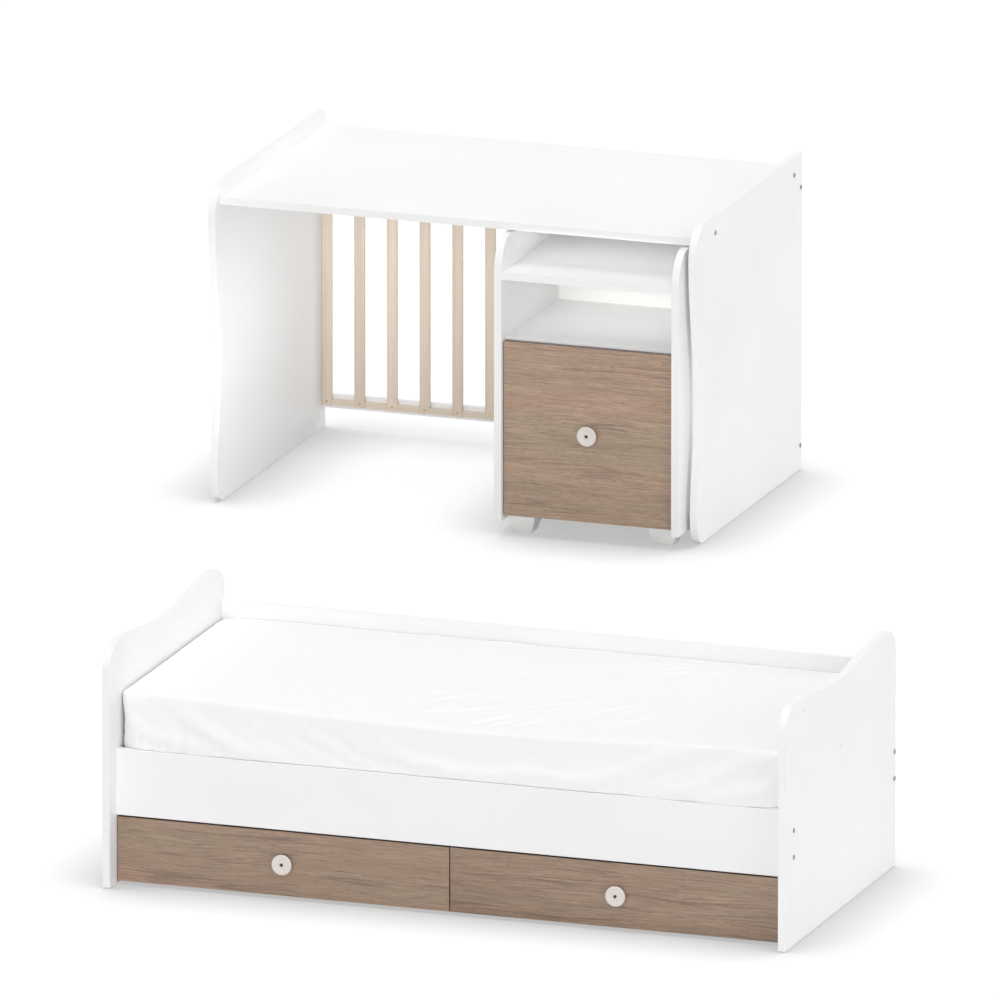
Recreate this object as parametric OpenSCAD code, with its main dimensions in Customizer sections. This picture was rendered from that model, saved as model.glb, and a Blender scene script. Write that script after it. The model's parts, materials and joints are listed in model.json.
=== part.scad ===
// Convertible crib in its second form: a junior bed with two drawers, and a writing desk
// with a slatted back and a free-standing drawer cabinet under its right end.
// Millimetres, +Z up, +Y from the front of the bed towards the desk.
// The origin is on the floor, under the middle of the whole set.

/* [Boards] */
// Thickness of every laminated board
board_t = 18; // [16:1:22]
// Height of the nail-on floor glides under the boards
glide_h = 3; // [2:0.5:6]
// Diameter of the floor glides
glide_d = 14; // [8:1:16]
// How far the floor glides stand in from a board's ends
glide_inset = 70; // [60:1:120]

/* [Bed] */
// Length of the bed over both end boards
bed_l = 1640; // [1500:10:1800]
// Front-to-back size of the bed's end boards
bed_w = 775; // [720:5:850]
// Height of the end boards at their crests
bed_h = 571; // [530:1:640]
// Length of the rounded corner along an end board's top
bed_corner_len = 75; // [40:1:100]
// Height of that rounded corner
bed_corner_drop = 56; // [30:1:80]
// Depth of the wave in an end board's top
bed_wave = 28; // [4:1:50]
// How far the front rail and drawer fronts stand behind the end boards' front edges
rail_setback = 47; // [20:1:60]
// Height of the rails' lower edges above the floor
rail_bottom = 164; // [155:1:190]
// Height of the front and back rails
rail_h = 155; // [135:1:180]
// Height of the back guard's top edge above the floor
guard_top = 487; // [420:1:510]

/* [Slatted base] */
// Width of a bed slat
bed_slat_w = 70; // [50:1:90]
// Thickness of a bed slat
bed_slat_t = 18; // [12:1:20]
// Largest gap between two bed slats
bed_slat_gap = 60; // [40:1:65]
// How far the slats' top lies below the rails' top edge
slat_drop = 12; // [0:0.5:16]
// Width of the ledges that carry the slats
ledge_w = 28; // [22:1:40]
// Height of those ledges
ledge_h = 30; // [22:1:36]

/* [Mattress] */
// Thickness of the mattress at its edge
mattress_h = 142; // [100:1:160]
// How much higher the middle of the mattress stands
mattress_crown = 8; // [0:1:20]
// How far the long front edge sags at its middle
mattress_sag = 18; // [0:1:24]
// Corner radius of the mattress seen from above
mattress_corner = 45; // [20:1:80]
// How far the sides draw in between the corners
mattress_draw = 5; // [0:1:12]
// Clearance from the mattress to the end boards
mattress_end_gap = 6; // [4:0.5:12]
// Clearance from the mattress to the front rail and the guard
mattress_side_gap = 4; // [3:0.5:8]
// Thickness of the fitted sheet
sheet_t = 1; // [0.8:0.1:2]
// Width of the sheet's hem that returns under the mattress
sheet_hem = 60; // [30:1:120]

/* [Desk] */
// Length of the desk over both side panels
desk_l = 1218; // [1060:2:1360]
// Front-to-back size of the side panels at the upper bulge
desk_w = 775; // [720:1:830]
// Height of the desk's side panels
desk_h = 780; // [740:1:820]
// How far the panels rise above the desktop
desk_upstand = 35; // [20:1:60]
// How far the desktop's front edge stands behind the upper bulge
desktop_setback = 40; // [20:1:60]
// Height of the rounded upper front corner
desk_top_corner = 79; // [50:1:90]
// Front-to-back size of the rounded upper front corner
desk_top_drop = 85; // [50:1:100]
// Height of the rounded lower front corner
desk_foot_corner = 66; // [40:1:80]
// Front-to-back size of the rounded lower front corner
desk_foot_drop = 40; // [25:1:60]
// Depth of the wave at the panels' waist
desk_wave = 40; // [16:1:60]
// How far the lower bulge stands behind the upper one
desk_foot_setback = 13; // [0:1:15]
// Height of the waist above the floor
desk_waist = 328; // [250:1:420]

/* [Slatted desk back] */
// Width of a back slat
back_slat_w = 26; // [20:0.5:35]
// Thickness of a back slat
back_slat_t = 10; // [8:0.5:14]
// Largest pitch of the back slats
back_slat_pitch = 83; // [60:1:88]
// Height of the top rail
top_rail_h = 64; // [45:1:90]
// Height of the bottom rail
bottom_rail_h = 32; // [26:1:60]
// Height of the bottom rail's lower edge above the floor
bottom_rail_z = 53; // [40:1:120]
// How far the slats stop short of the rails' outer edges
slat_end_gap = 7.5; // [4:0.5:10]
// Distance from a slat's end to its screw
slat_screw_inset = 10; // [9:0.5:12]
// Height of the filler pieces between the slats
fillet_h = 16; // [10:1:20]
// Thickness of the filler pieces
fillet_t = 8; // [5:0.5:10]

/* [Cabinet] */
// Width of the cabinet
cabinet_w = 460; // [400:1:510]
// Depth of the cabinet
cabinet_d = 741; // [690:1:760]
// Gap between the cabinet and the desk's right panel
cabinet_side_gap = 10; // [3:1:40]
// How far the cabinet stands in front of the desk panels' upper bulge
cabinet_proud = 41; // [0:1:80]
// Gap between the cabinet's crest and the desktop
cabinet_head_gap = 4; // [2:1:20]
// Depth of the wave in the cabinet sides' top
cabinet_wave = 25; // [4:1:40]
// Length of the fall from crest to hollow
cabinet_fall = 212; // [120:5:260]
// Length of the rounded upper corners
cabinet_corner_len = 64; // [40:1:80]
// Height of the rounded upper corners
cabinet_corner_drop = 85; // [50:1:100]
// Height of the sides' lower edges above the floor
cabinet_side_z = 37; // [25:1:44]
// Height of the drawer front's lower edge and of the feet
foot_h = 50; // [46:1:60]
// Height of the drawer front
cabinet_front_h = 424; // [380:1:445]
// How far the drawer front stands behind the sides' front edges
cabinet_front_setback = 13; // [4:1:20]
// Clear height of the open middle compartment
compartment_h = 146; // [125:1:160]
// Depth of the open middle compartment behind the drawer front's face
compartment_d = 398; // [360:1:440]
// How far the upper shelf stands behind the sides' front edges
shelf_setback = 4; // [0:1:12]
// Thickness of the inner back
inner_back_t = 16; // [12:1:18]
// How far the rear deck stands above the upper shelf
deck_step = 4; // [1:0.5:8]
// Thickness of the rear hardboard panel
back_panel_t = 3; // [2.5:0.5:6]
// Width of a foot at its top
foot_top_w = 66; // [50:1:66]
// Width of a foot on the floor
foot_floor_w = 43; // [30:1:50]
// Height of a foot's straight upper part
foot_plate_h = 15; // [8:1:24]
// Distance from the cabinet's outer faces to the middle of a foot
foot_inset = 54; // [50:1:80]
// Distance from the cabinet's front to the middle of a front foot
foot_front = 71; // [66:1:100]

/* [Drawers] */
// Gap round the drawer fronts
front_gap = 2; // [1.5:0.5:4]
// Gap between the two bed drawer fronts
front_middle_gap = 2.5; // [1.5:0.5:5]
// Gap between the bed drawer fronts and the rail above
front_top_gap = 4; // [2:0.5:8]
// Gap between the bed drawer fronts and the floor
front_floor_gap = 9; // [6:1:20]
// Thickness of the drawer boxes' sides and backs
box_t = 12; // [12:1:16]
// Thickness of the drawer bottoms
bottom_t = 3; // [2.5:0.5:4]
// Depth of the groove that holds a drawer bottom
groove_d = 6; // [4:0.5:8]
// Height of that groove above a side's lower edge
groove_z = 8; // [6:1:14]
// Height of the bed drawers' box sides
bed_box_h = 110; // [90:1:125]
// Depth of the bed drawers' boxes
bed_box_d = 600; // [500:5:640]
// Height of the bed drawer boxes above the floor
bed_box_z = 22; // [14:1:28]
// Height of the cabinet drawer's box sides
cabinet_box_h = 264; // [210:1:290]
// Depth of the cabinet drawer's box
cabinet_box_d = 355; // [300:5:375]
// Height of the cabinet drawer box above the floor
cabinet_box_z = 87; // [82:1:95]

/* [Runners] */
// Gap between a drawer box and the board that carries its rail
runner_gap = 13; // [12:0.5:16]
// Height of the wooden rail that a runner rides on
strip_h = 14; // [10:1:18]
// Clearance between rail and runner, across
strip_side_gap = 1; // [0.6:0.1:2]
// Clearance over the rail, on which the drawer hangs
strip_top_gap = 0.3; // [0.2:0.1:0.6]
// Clearance under the rail
strip_under_gap = 0.6; // [0.3:0.1:1.2]
// Wall of the channel-shaped runner
runner_wall = 1.5; // [1:0.1:2]
// How far a runner's flanges stay clear of the board
runner_lip_gap = 3; // [2:0.5:5]

/* [Knobs] */
// Diameter of a knob's disc
knob_d = 48; // [36:1:60]
// Thickness of the disc
knob_t = 6; // [4:0.5:9]
// Diameter of the neck behind the disc
knob_neck_d = 18; // [14:1:26]
// Length of the neck
knob_neck_h = 8; // [5:0.5:14]
// Diameter of the shallow ring on the disc's face
knob_ring_d = 15; // [12:1:26]
// Depth of that ring
knob_ring_depth = 0.4; // [0.2:0.1:0.8]

/* [Fasteners] */
// Shank diameter of the connector bolts
bolt_d = 6; // [5:0.5:6]
// Head diameter of the connector bolts
bolt_head_d = 12; // [10:1:14]
// Height of a connector bolt's head
bolt_head_h = 1.5; // [1:0.5:2.5]
// How far a connector bolt goes into the second board
bolt_grip = 32; // [24:1:40]
// Shank diameter of the small screws
screw_d = 4; // [3:0.5:4]
// Head diameter of the small screws
screw_head_d = 7; // [6:0.5:8]
// Thickness of a small screw's head
screw_head_h = 2; // [1.5:0.5:2.5]
// Diameter of the round cam fittings in the drawer sides
cam_d = 15; // [12:1:15]
// Depth of the cam fittings
cam_h = 9; // [7:0.5:9]
// Distance from a side's end to the middle of its cam
cam_inset = 24; // [20:1:34]
// Diameter of the beech dowels
dowel_d = 8; // [6:1:10]
// How far a dowel goes into each board
dowel_grip = 12; // [10:1:14]
// Diameter of the plug caps over unused holes
cap_d = 12; // [11:1:16]
// Thickness of a plug cap
cap_t = 1; // [0.6:0.1:2]
// Diameter of a cap's plug
cap_plug_d = 8; // [6:0.5:9]
// Length of a cap's plug
cap_plug_h = 7; // [5:0.5:12]
// Distance of the upper cap from an end board's front edge
cap_front = 126; // [90:1:160]
// Distance of the upper cap below the crest
cap_drop = 34; // [30:1:60]
// Distance of the lower cap below the crest
cap_low_drop = 185; // [120:1:200]
// Clearance round fasteners and dowels in their holes
hole_gap = 0.15; // [0.1:0.05:0.3]

/* [Layout] */
// Clear floor between the back of the bed and the front of the desk
aisle = 2470; // [1500:10:3000]
// How far the desk's left end stands to the left of the bed's
desk_shift = 910; // [0:10:1200]

/* [Hidden] */
$fn = 48;
white = "#F4F4F2";
oak = "#A38A76";
beech = "#D6C5B1";
steel = "#8E8E8E";
knob_grey = "#DDD6CF";
hardboard = "#E9E6E0";
cotton = "#FAFAFA";
foam = "#F1EEE6";

// Places of the two units, with the origin under the middle of the set
set_left = min(0, -desk_shift);
set_right = max(bed_l, desk_l - desk_shift);
set_depth = bed_w + aisle + desk_w;
bed_x = -(set_left + set_right) / 2;
bed_y = -set_depth / 2;
desk_x = bed_x - desk_shift;
desk_y = bed_y + bed_w + aisle;
cabinet_x = desk_x + desk_l - board_t - cabinet_side_gap - cabinet_w;
cabinet_y = desk_y - cabinet_proud;

// Bed heights and depths
rail_top = rail_bottom + rail_h;
rail_mid_y = rail_setback + board_t / 2;
rail_back_face = rail_setback + board_t;
guard_mid_y = bed_w - board_t / 2;
back_rail_face = bed_w - board_t;
bed_inner_l = bed_l - 2 * board_t;
bed_inner_w = back_rail_face - rail_back_face;
slat_top = rail_top - slat_drop;
slat_z = slat_top - bed_slat_t;
ledge_z = slat_z - ledge_h;
slat_side_gap = 1;
bed_slat_room = bed_inner_l - bed_slat_w - 2 * slat_side_gap;
bed_slat_count = ceil(bed_slat_room / (bed_slat_w + bed_slat_gap)) + 1;
bed_slat_pitch = bed_slat_room / (bed_slat_count - 1);
ledge_screw_count = 5;
rail_bolt_inset = 46;
rail_bolts = [rail_bottom + rail_bolt_inset, rail_top - rail_bolt_inset];
guard_dowel_inset = 45;
guard_dowels = [rail_top + guard_dowel_inset, guard_top - guard_dowel_inset];
cap_places_yz = [[cap_front, bed_h - cap_drop], [bed_w / 2, bed_h - cap_low_drop]];

// Mattress
soft_gap = 0.3;
mattress_l = bed_inner_l - 2 * mattress_end_gap;
mattress_w = bed_inner_w - 2 * mattress_side_gap;
mattress_z = slat_top + 2 * soft_gap + sheet_t;
mattress_edge = 18;

// Desk heights and depths
desktop_z = desk_h - desk_upstand - board_t;
back_rail_y = desk_w - board_t;
slat_front_y = back_rail_y - back_slat_t;
back_slat_room = desk_l - 2 * board_t - back_slat_w;
back_slat_count = ceil(back_slat_room / back_slat_pitch) + 1;
back_slat_step = back_slat_room / (back_slat_count - 1);
back_slat_x0 = board_t;
fillet_slip = 0.1;
back_slat_z0 = bottom_rail_z + slat_end_gap;
back_slat_z1 = desktop_z - slat_end_gap;
desktop_bolt_inset = 102;
desktop_back_bolt = 58;

// Cabinet heights and depths
cabinet_inner_w = cabinet_w - 2 * board_t;
cabinet_top = desktop_z - cabinet_head_gap;
cabinet_side_d = cabinet_d - back_panel_t;
front_back_y = cabinet_front_setback + board_t;
compartment_back_y = cabinet_front_setback + compartment_d;
front_top_z = foot_h + cabinet_front_h;
floor_lip = 5;
compartment_floor_z = front_top_z + floor_lip - board_t;
shelf_z = compartment_floor_z + board_t + compartment_h;
deck_z = shelf_z + deck_step;
deck_y = compartment_back_y + inner_back_t;
carcass_screw_inset = 60;
panel_screw_inset = 60;

// Drawers
front_t = board_t;
bed_front_h = rail_bottom - front_top_gap - front_floor_gap;
bed_front_w = (bed_inner_l - 2 * front_gap - front_middle_gap) / 2;
bed_opening = (bed_inner_l - board_t) / 2;
bed_box_w = bed_opening - 2 * runner_gap;
cabinet_front_w = cabinet_inner_w - 2 * front_gap;
cabinet_box_w = cabinet_inner_w - 2 * runner_gap;
strip_w = runner_gap - runner_wall - strip_side_gap;
strip_front = 5;
strip_back = 15;
strip_share = 0.42;
running_gap = 0.1;
knob_hole_depth = 14;
knob_screw_sink = 0.6;

// Outline of a board whose long edge has two rounded corners and a wave between them.
// The edge runs along the first axis, at height h on the second.
function corner_in(len, drop, h) =
    [for (i = [0:12]) let (a = 7.5 * i) [len * (1 - cos(a)), h - drop * (1 - sin(a))]];
function fall(start, len, high, low) =
    [for (i = [1:16]) let (a = 11.25 * i) [start + len * i / 16,
        high - (high - low) * (1 - cos(a)) / 2]];
function corner_out(end, len, drop, h) =
    [for (i = [1:12]) let (a = 90 - 7.5 * i) [end - len * (1 - cos(a)), h - drop * (1 - sin(a))]];

function wave_edge(l, h, corner1, drop1, corner2, drop2, dip, fall1, fall2, low2) =
    concat(corner_in(corner1, drop1, h),
        fall(corner1, fall1, h, h - dip),
        fall(l - corner2 - fall2, fall2, h - dip, h - low2),
        corner_out(l, corner2, drop2, h - low2));

bed_fall = bed_w / 2 - bed_corner_len;
bed_edge = wave_edge(bed_w, bed_h - glide_h, bed_corner_len, bed_corner_drop, bed_corner_len,
    bed_corner_drop, bed_wave, bed_fall, bed_fall, 0);
desk_fall1 = desk_h - desk_top_corner - desk_waist;
desk_fall2 = desk_waist - glide_h - desk_foot_corner;
desk_edge = wave_edge(desk_h - glide_h, desk_w, desk_top_corner, desk_top_drop,
    desk_foot_corner, desk_foot_drop, desk_wave, desk_fall1, desk_fall2, desk_foot_setback);
cabinet_edge = wave_edge(cabinet_side_d, cabinet_top - cabinet_side_z, cabinet_corner_len,
    cabinet_corner_drop, cabinet_corner_len, cabinet_corner_drop, cabinet_wave, cabinet_fall,
    cabinet_fall, 0);

module at_bed() translate([bed_x, bed_y, 0]) children();
module at_desk() translate([desk_x, desk_y, 0]) children();
module at_cabinet() translate([cabinet_x, cabinet_y, 0]) children();

// A copy on the other end of a unit of length l
module both_ends(l) {
    children();
    translate([l, 0, 0]) mirror([1, 0, 0]) children();
}

// An upright board from an outline in the Y-Z plane
module upright(outline, x = 0) {
    translate([x, 0, 0]) rotate([90, 0, 90]) linear_extrude(board_t) polygon(outline);
}

module box(x, y, z, size) translate([x, y, z]) cube(size);

// Connector bolt along +X, with its head outside the face x = 0
module bolt(grip = bolt_grip) {
    rotate([0, 90, 0]) {
        cylinder(d = bolt_d, h = board_t + grip);
        translate([0, 0, -bolt_head_h]) difference() {
            cylinder(d = bolt_head_d, h = bolt_head_h);
            translate([0, 0, -1]) cylinder(d = bolt_d * 0.75, h = bolt_head_h / 2 + 1, $fn = 6);
        }
    }
}

module bolt_hole(grip = bolt_grip) {
    translate([-1, 0, 0]) rotate([0, 90, 0])
        cylinder(d = bolt_d + 2 * hole_gap, h = board_t + grip + 1.5);
}

// Small screw along +Z, with its flush head ending at z = 0
module screw(length) {
    translate([0, 0, -screw_head_h]) difference() {
        cylinder(d = screw_head_d, h = screw_head_h);
        translate([0, 0, screw_head_h / 2])
            cylinder(d = screw_d * 0.7, h = screw_head_h, $fn = 6);
    }
    translate([0, 0, -length]) cylinder(d = screw_d, h = length - screw_head_h);
}

module screw_hole(length) {
    translate([0, 0, -screw_head_h - hole_gap])
        cylinder(d = screw_head_d + 2 * hole_gap, h = screw_head_h + hole_gap + 1);
    translate([0, 0, -length - 0.5]) cylinder(d = screw_d + 2 * hole_gap, h = length);
}

module glide() cylinder(d = glide_d, h = glide_h);

// Bed

module bed_bolt_places() for (y = [rail_mid_y, guard_mid_y], z = rail_bolts)
    translate([0, y, z]) children();

module guard_dowel_places() for (z = guard_dowels) translate([board_t, guard_mid_y, z])
    rotate([0, 90, 0]) children();

module cap_places() for (p = cap_places_yz) translate([0, p[0], p[1]])
    rotate([0, 90, 0]) children();

module guard_dowel_holes() guard_dowel_places()
    translate([0, 0, -dowel_grip - 0.5]) cylinder(d = dowel_d + 2 * hole_gap,
        h = 2 * dowel_grip + 1);

// End board with its outer face at x = 0
module end_board() {
    difference() {
        translate([0, 0, glide_h]) upright(concat(bed_edge, [[bed_w, 0], [0, 0]]));
        bed_bolt_places() bolt_hole();
        guard_dowel_holes();
        cap_places() translate([0, 0, -1])
            cylinder(d = cap_plug_d + 2 * hole_gap, h = cap_plug_h + 2);
    }
}

module bed_left_end_board() color(white) at_bed() end_board();

module bed_right_end_board() color(white) at_bed()
    translate([bed_l, 0, 0]) mirror([1, 0, 0]) end_board();

// Screws through the ledges into the rails, along +Y for the front ledge
module ledge_screw_places() for (i = [0:ledge_screw_count - 1])
    translate([board_t + bed_inner_l * (i + 0.5) / ledge_screw_count, 0, ledge_z + ledge_h / 2])
        children();

module front_ledge_screws() ledge_screw_places()
    translate([0, rail_back_face + ledge_w, 0]) rotate([-90, 0, 0]) children();

module back_ledge_screws() ledge_screw_places()
    translate([0, back_rail_face - ledge_w, 0]) rotate([90, 0, 0]) children();

ledge_screw_l = ledge_w + 12;

module bed_front_rail() color(white) at_bed() difference() {
    box(board_t, rail_setback, rail_bottom, [bed_inner_l, board_t, rail_h]);
    both_ends(bed_l) bed_bolt_places() bolt_hole();
    front_ledge_screws() screw_hole(ledge_screw_l);
}

module bed_back_rail() color(white) at_bed() difference() {
    box(board_t, back_rail_face, rail_bottom, [bed_inner_l, board_t, rail_h]);
    both_ends(bed_l) bed_bolt_places() bolt_hole();
    back_ledge_screws() screw_hole(ledge_screw_l);
}

module bed_back_guard() color(white) at_bed() difference() {
    box(board_t, back_rail_face, rail_top, [bed_inner_l, board_t, guard_top - rail_top]);
    both_ends(bed_l) guard_dowel_holes();
}

module bed_guard_dowels() color(beech) at_bed() both_ends(bed_l) guard_dowel_places()
    translate([0, 0, -dowel_grip]) cylinder(d = dowel_d, h = 2 * dowel_grip);

module bed_centre_support() color(white) at_bed()
    box((bed_l - board_t) / 2, rail_back_face, glide_h,
        [board_t, bed_inner_w, ledge_z - glide_h]);

module bed_slat_places() for (i = [0:bed_slat_count - 1])
    translate([board_t + slat_side_gap + i * bed_slat_pitch, 0, 0]) children();

slat_screw_l = bed_slat_t + 16;

module slat_screw_places() bed_slat_places()
    for (y = [rail_back_face + ledge_w / 2, back_rail_face - ledge_w / 2])
        translate([bed_slat_w / 2, y, slat_top]) children();

module bed_slat_ledges() color(beech) at_bed() difference() {
    for (y = [rail_back_face, back_rail_face - ledge_w])
        box(board_t, y, ledge_z, [bed_inner_l, ledge_w, ledge_h]);
    slat_screw_places() screw_hole(slat_screw_l);
    front_ledge_screws() screw_hole(ledge_screw_l);
    back_ledge_screws() screw_hole(ledge_screw_l);
}

module bed_slats() color(beech) at_bed() difference() {
    bed_slat_places() box(0, rail_back_face + slat_side_gap, slat_z,
        [bed_slat_w, bed_inner_w - 2 * slat_side_gap, bed_slat_t]);
    slat_screw_places() screw_hole(slat_screw_l);
}

module bed_slat_screws() color(steel) at_bed() {
    slat_screw_places() screw(slat_screw_l);
    front_ledge_screws() screw(ledge_screw_l);
    back_ledge_screws() screw(ledge_screw_l);
}

module bed_bolts() color(steel) at_bed() both_ends(bed_l) bed_bolt_places() bolt();

module bed_hole_caps() color(white) at_bed() both_ends(bed_l) cap_places() {
    translate([0, 0, -cap_t]) cylinder(d = cap_d, h = cap_t);
    cylinder(d = cap_plug_d, h = cap_plug_h);
}

module bed_floor_glides() color(knob_grey) at_bed() {
    both_ends(bed_l) for (y = [glide_inset, bed_w - glide_inset])
        translate([board_t / 2, y, 0]) glide();
    for (y = [rail_back_face + glide_inset, back_rail_face - glide_inset])
        translate([bed_l / 2, y, 0]) glide();
}

// Drawer boxes. Each is drawn with its box's left outer face at x = 0, the back of its front
// at y = 0 and the lower edge of its sides at z = 0.

module in_left_drawer() at_bed()
    translate([board_t + runner_gap, rail_back_face, bed_box_z]) children();
module in_right_drawer() at_bed()
    translate([(bed_l + board_t) / 2 + runner_gap, rail_back_face, bed_box_z]) children();
module in_cabinet_drawer() at_cabinet()
    translate([board_t + runner_gap, front_back_y, cabinet_box_z]) children();

function fitting_heights(h) = [0.3 * h, 0.78 * h];

module cam_bolt_places(w, h) for (x = [box_t / 2, w - box_t / 2], z = fitting_heights(h))
    translate([x, 0, z]) rotate([-90, 0, 0]) children();

module cam_places(w, h) both_ends(w) for (z = fitting_heights(h))
    translate([box_t, cam_inset, z]) rotate([0, -90, 0]) children();

module back_screw_places(w, d, h) both_ends(w) for (z = fitting_heights(h))
    translate([0, d - box_t / 2, z]) rotate([0, -90, 0]) children();

back_screw_l = box_t + 24;
cam_bolt_grip = 11;
cam_key_d = 5;
cam_key_depth = 2;
groove_h = bottom_t + 2 * running_gap;

module cam_bolt_hole() translate([0, 0, -cam_bolt_grip - 0.5])
    cylinder(d = bolt_d + 2 * hole_gap, h = cam_bolt_grip + 0.5 + cam_inset);

module drawer_sides(w, d, h) difference() {
    for (x = [0, w - box_t]) box(x, 0, 0, [box_t, d, h]);
    box(box_t - groove_d, -1, groove_z, [w - 2 * box_t + 2 * groove_d, d + 2, groove_h]);
    cam_bolt_places(w, h) cam_bolt_hole();
    cam_places(w, h) translate([0, 0, -1]) cylinder(d = cam_d + 2 * hole_gap, h = cam_h + 1.1);
    back_screw_places(w, d, h) screw_hole(back_screw_l);
}

module drawer_back(w, d, h) difference() {
    box(box_t, d - box_t, groove_z + groove_h,
        [w - 2 * box_t, box_t, h - groove_z - groove_h]);
    back_screw_places(w, d, h) screw_hole(back_screw_l);
}

module drawer_bottom(w, d)
    box(box_t - groove_d + 1, 1 - groove_d, groove_z + running_gap,
        [w - 2 * box_t + 2 * groove_d - 2, d + groove_d - 1, bottom_t]);

// Front board: x and z of its lower left corner, and its size
module drawer_front(x, z, w, h, box_w, box_h) difference() {
    box(x, -front_t, z, [w, front_t, h]);
    box(box_t - groove_d, -groove_d, groove_z,
        [box_w - 2 * box_t + 2 * groove_d, groove_d + 1, groove_h]);
    cam_bolt_places(box_w, box_h) cam_bolt_hole();
    translate([x + w / 2, -front_t, z + h / 2]) rotate([-90, 0, 0])
        translate([0, 0, -1]) cylinder(d = screw_d + 2 * hole_gap, h = knob_hole_depth + 1);
}

module drawer_fittings(w, d, h) {
    cam_places(w, h) difference() {
        cylinder(d = cam_d, h = cam_h);
        translate([0, 0, -1]) cylinder(d = cam_key_d, h = cam_key_depth + 1, $fn = 6);
    }
    cam_bolt_places(w, h) translate([0, 0, -cam_bolt_grip])
        cylinder(d = bolt_d, h = cam_bolt_grip + cam_inset - cam_d / 2 - 2 * hole_gap);
    back_screw_places(w, d, h) screw(back_screw_l);
}

// Channel-shaped runners on the box sides, hung over the rails
module drawer_runners(w, d, h) both_ends(w) {
    z0 = h * strip_share - strip_under_gap - runner_wall;
    channel_h = strip_h + strip_top_gap + strip_under_gap + 2 * runner_wall;
    channel_w = runner_gap - runner_lip_gap;
    difference() {
        box(-channel_w, 1, z0, [channel_w, d - 2, channel_h]);
        box(-channel_w - 1, 0, z0 + runner_wall,
            [channel_w + 1 - runner_wall, d, channel_h - 2 * runner_wall]);
    }
}

// Wooden rails on the boards beside the drawer
module drawer_rails(w, d, h) both_ends(w)
    box(-runner_gap, strip_front, h * strip_share,
        [strip_w, d - strip_front - strip_back, strip_h]);

// Knob on the face z = 0, standing out along +Z
module knob() {
    rim = knob_t / 3;
    top = knob_neck_h + knob_t;
    ring_r = knob_ring_d / 2;
    ring_w = 1.2;
    rotate_extrude($fn = 72) difference() {
        union() {
            translate([screw_d / 2 + hole_gap, 0])
                square([knob_neck_d / 2 - screw_d / 2 - hole_gap, knob_neck_h + 1]);
            translate([screw_d / 2 + hole_gap, knob_neck_h])
                square([knob_d / 2 - rim - screw_d / 2 - hole_gap, knob_t]);
            translate([knob_d / 2 - rim - 0.5, knob_neck_h + rim])
                square([rim + 0.5, knob_t - 2 * rim]);
            for (z = [knob_neck_h + rim, top - rim])
                translate([knob_d / 2 - rim, z]) circle(r = rim);
        }
        translate([ring_r - ring_w, top - knob_ring_depth]) square([ring_w, 1]);
        translate([0, top - knob_screw_sink - screw_head_h - hole_gap])
            square([screw_head_d / 2 + hole_gap, screw_head_h + 2]);
    }
}

module knob_screw() translate([0, 0, knob_neck_h + knob_t - knob_screw_sink])
    screw(knob_neck_h + knob_t - knob_screw_sink + knob_hole_depth - 1);

bed_front_z = front_floor_gap - bed_box_z;
left_front_x = front_gap - runner_gap;
right_front_x = left_front_x + bed_front_w + front_middle_gap - bed_opening - board_t;

module bed_knob_place(front_x) translate([front_x + bed_front_w / 2, -front_t,
    bed_front_z + bed_front_h / 2]) rotate([90, 0, 0]) children();

module left_drawer_front() color(oak) in_left_drawer()
    drawer_front(left_front_x, bed_front_z, bed_front_w, bed_front_h, bed_box_w, bed_box_h);
module left_drawer_sides() color(white) in_left_drawer()
    drawer_sides(bed_box_w, bed_box_d, bed_box_h);
module left_drawer_back() color(white) in_left_drawer()
    drawer_back(bed_box_w, bed_box_d, bed_box_h);
module left_drawer_bottom() color(hardboard) in_left_drawer()
    drawer_bottom(bed_box_w, bed_box_d);
module left_drawer_runners() color(steel) in_left_drawer()
    drawer_runners(bed_box_w, bed_box_d, bed_box_h);
module left_drawer_fittings() color(steel) in_left_drawer() {
    drawer_fittings(bed_box_w, bed_box_d, bed_box_h);
    bed_knob_place(left_front_x) knob_screw();
}
module left_drawer_knob() color(knob_grey) in_left_drawer()
    bed_knob_place(left_front_x) knob();

module right_drawer_front() color(oak) in_right_drawer()
    drawer_front(right_front_x, bed_front_z, bed_front_w, bed_front_h, bed_box_w, bed_box_h);
module right_drawer_sides() color(white) in_right_drawer()
    drawer_sides(bed_box_w, bed_box_d, bed_box_h);
module right_drawer_back() color(white) in_right_drawer()
    drawer_back(bed_box_w, bed_box_d, bed_box_h);
module right_drawer_bottom() color(hardboard) in_right_drawer()
    drawer_bottom(bed_box_w, bed_box_d);
module right_drawer_runners() color(steel) in_right_drawer()
    drawer_runners(bed_box_w, bed_box_d, bed_box_h);
module right_drawer_fittings() color(steel) in_right_drawer() {
    drawer_fittings(bed_box_w, bed_box_d, bed_box_h);
    bed_knob_place(right_front_x) knob_screw();
}
module right_drawer_knob() color(knob_grey) in_right_drawer()
    bed_knob_place(right_front_x) knob();

module bed_drawer_rails() color(beech) {
    in_left_drawer() drawer_rails(bed_box_w, bed_box_d, bed_box_h);
    in_right_drawer() drawer_rails(bed_box_w, bed_box_d, bed_box_h);
}

// Mattress: stacked loops round a rounded rectangle, closed by a fan at the top and bottom

corner_steps = 4;
long_steps = 12;
short_steps = 6;

function edge_run(a, b, n, out, pull) = [for (i = [1:n - 1]) let (u = i / n)
    a + (b - a) * u - out * pull * sin(180 * u)];

function corner_arc(cx, cy, r, a0) = [for (i = [0:corner_steps])
    let (a = a0 + 90 * i / corner_steps) [cx + r * cos(a), cy + r * sin(a)]];

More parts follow.
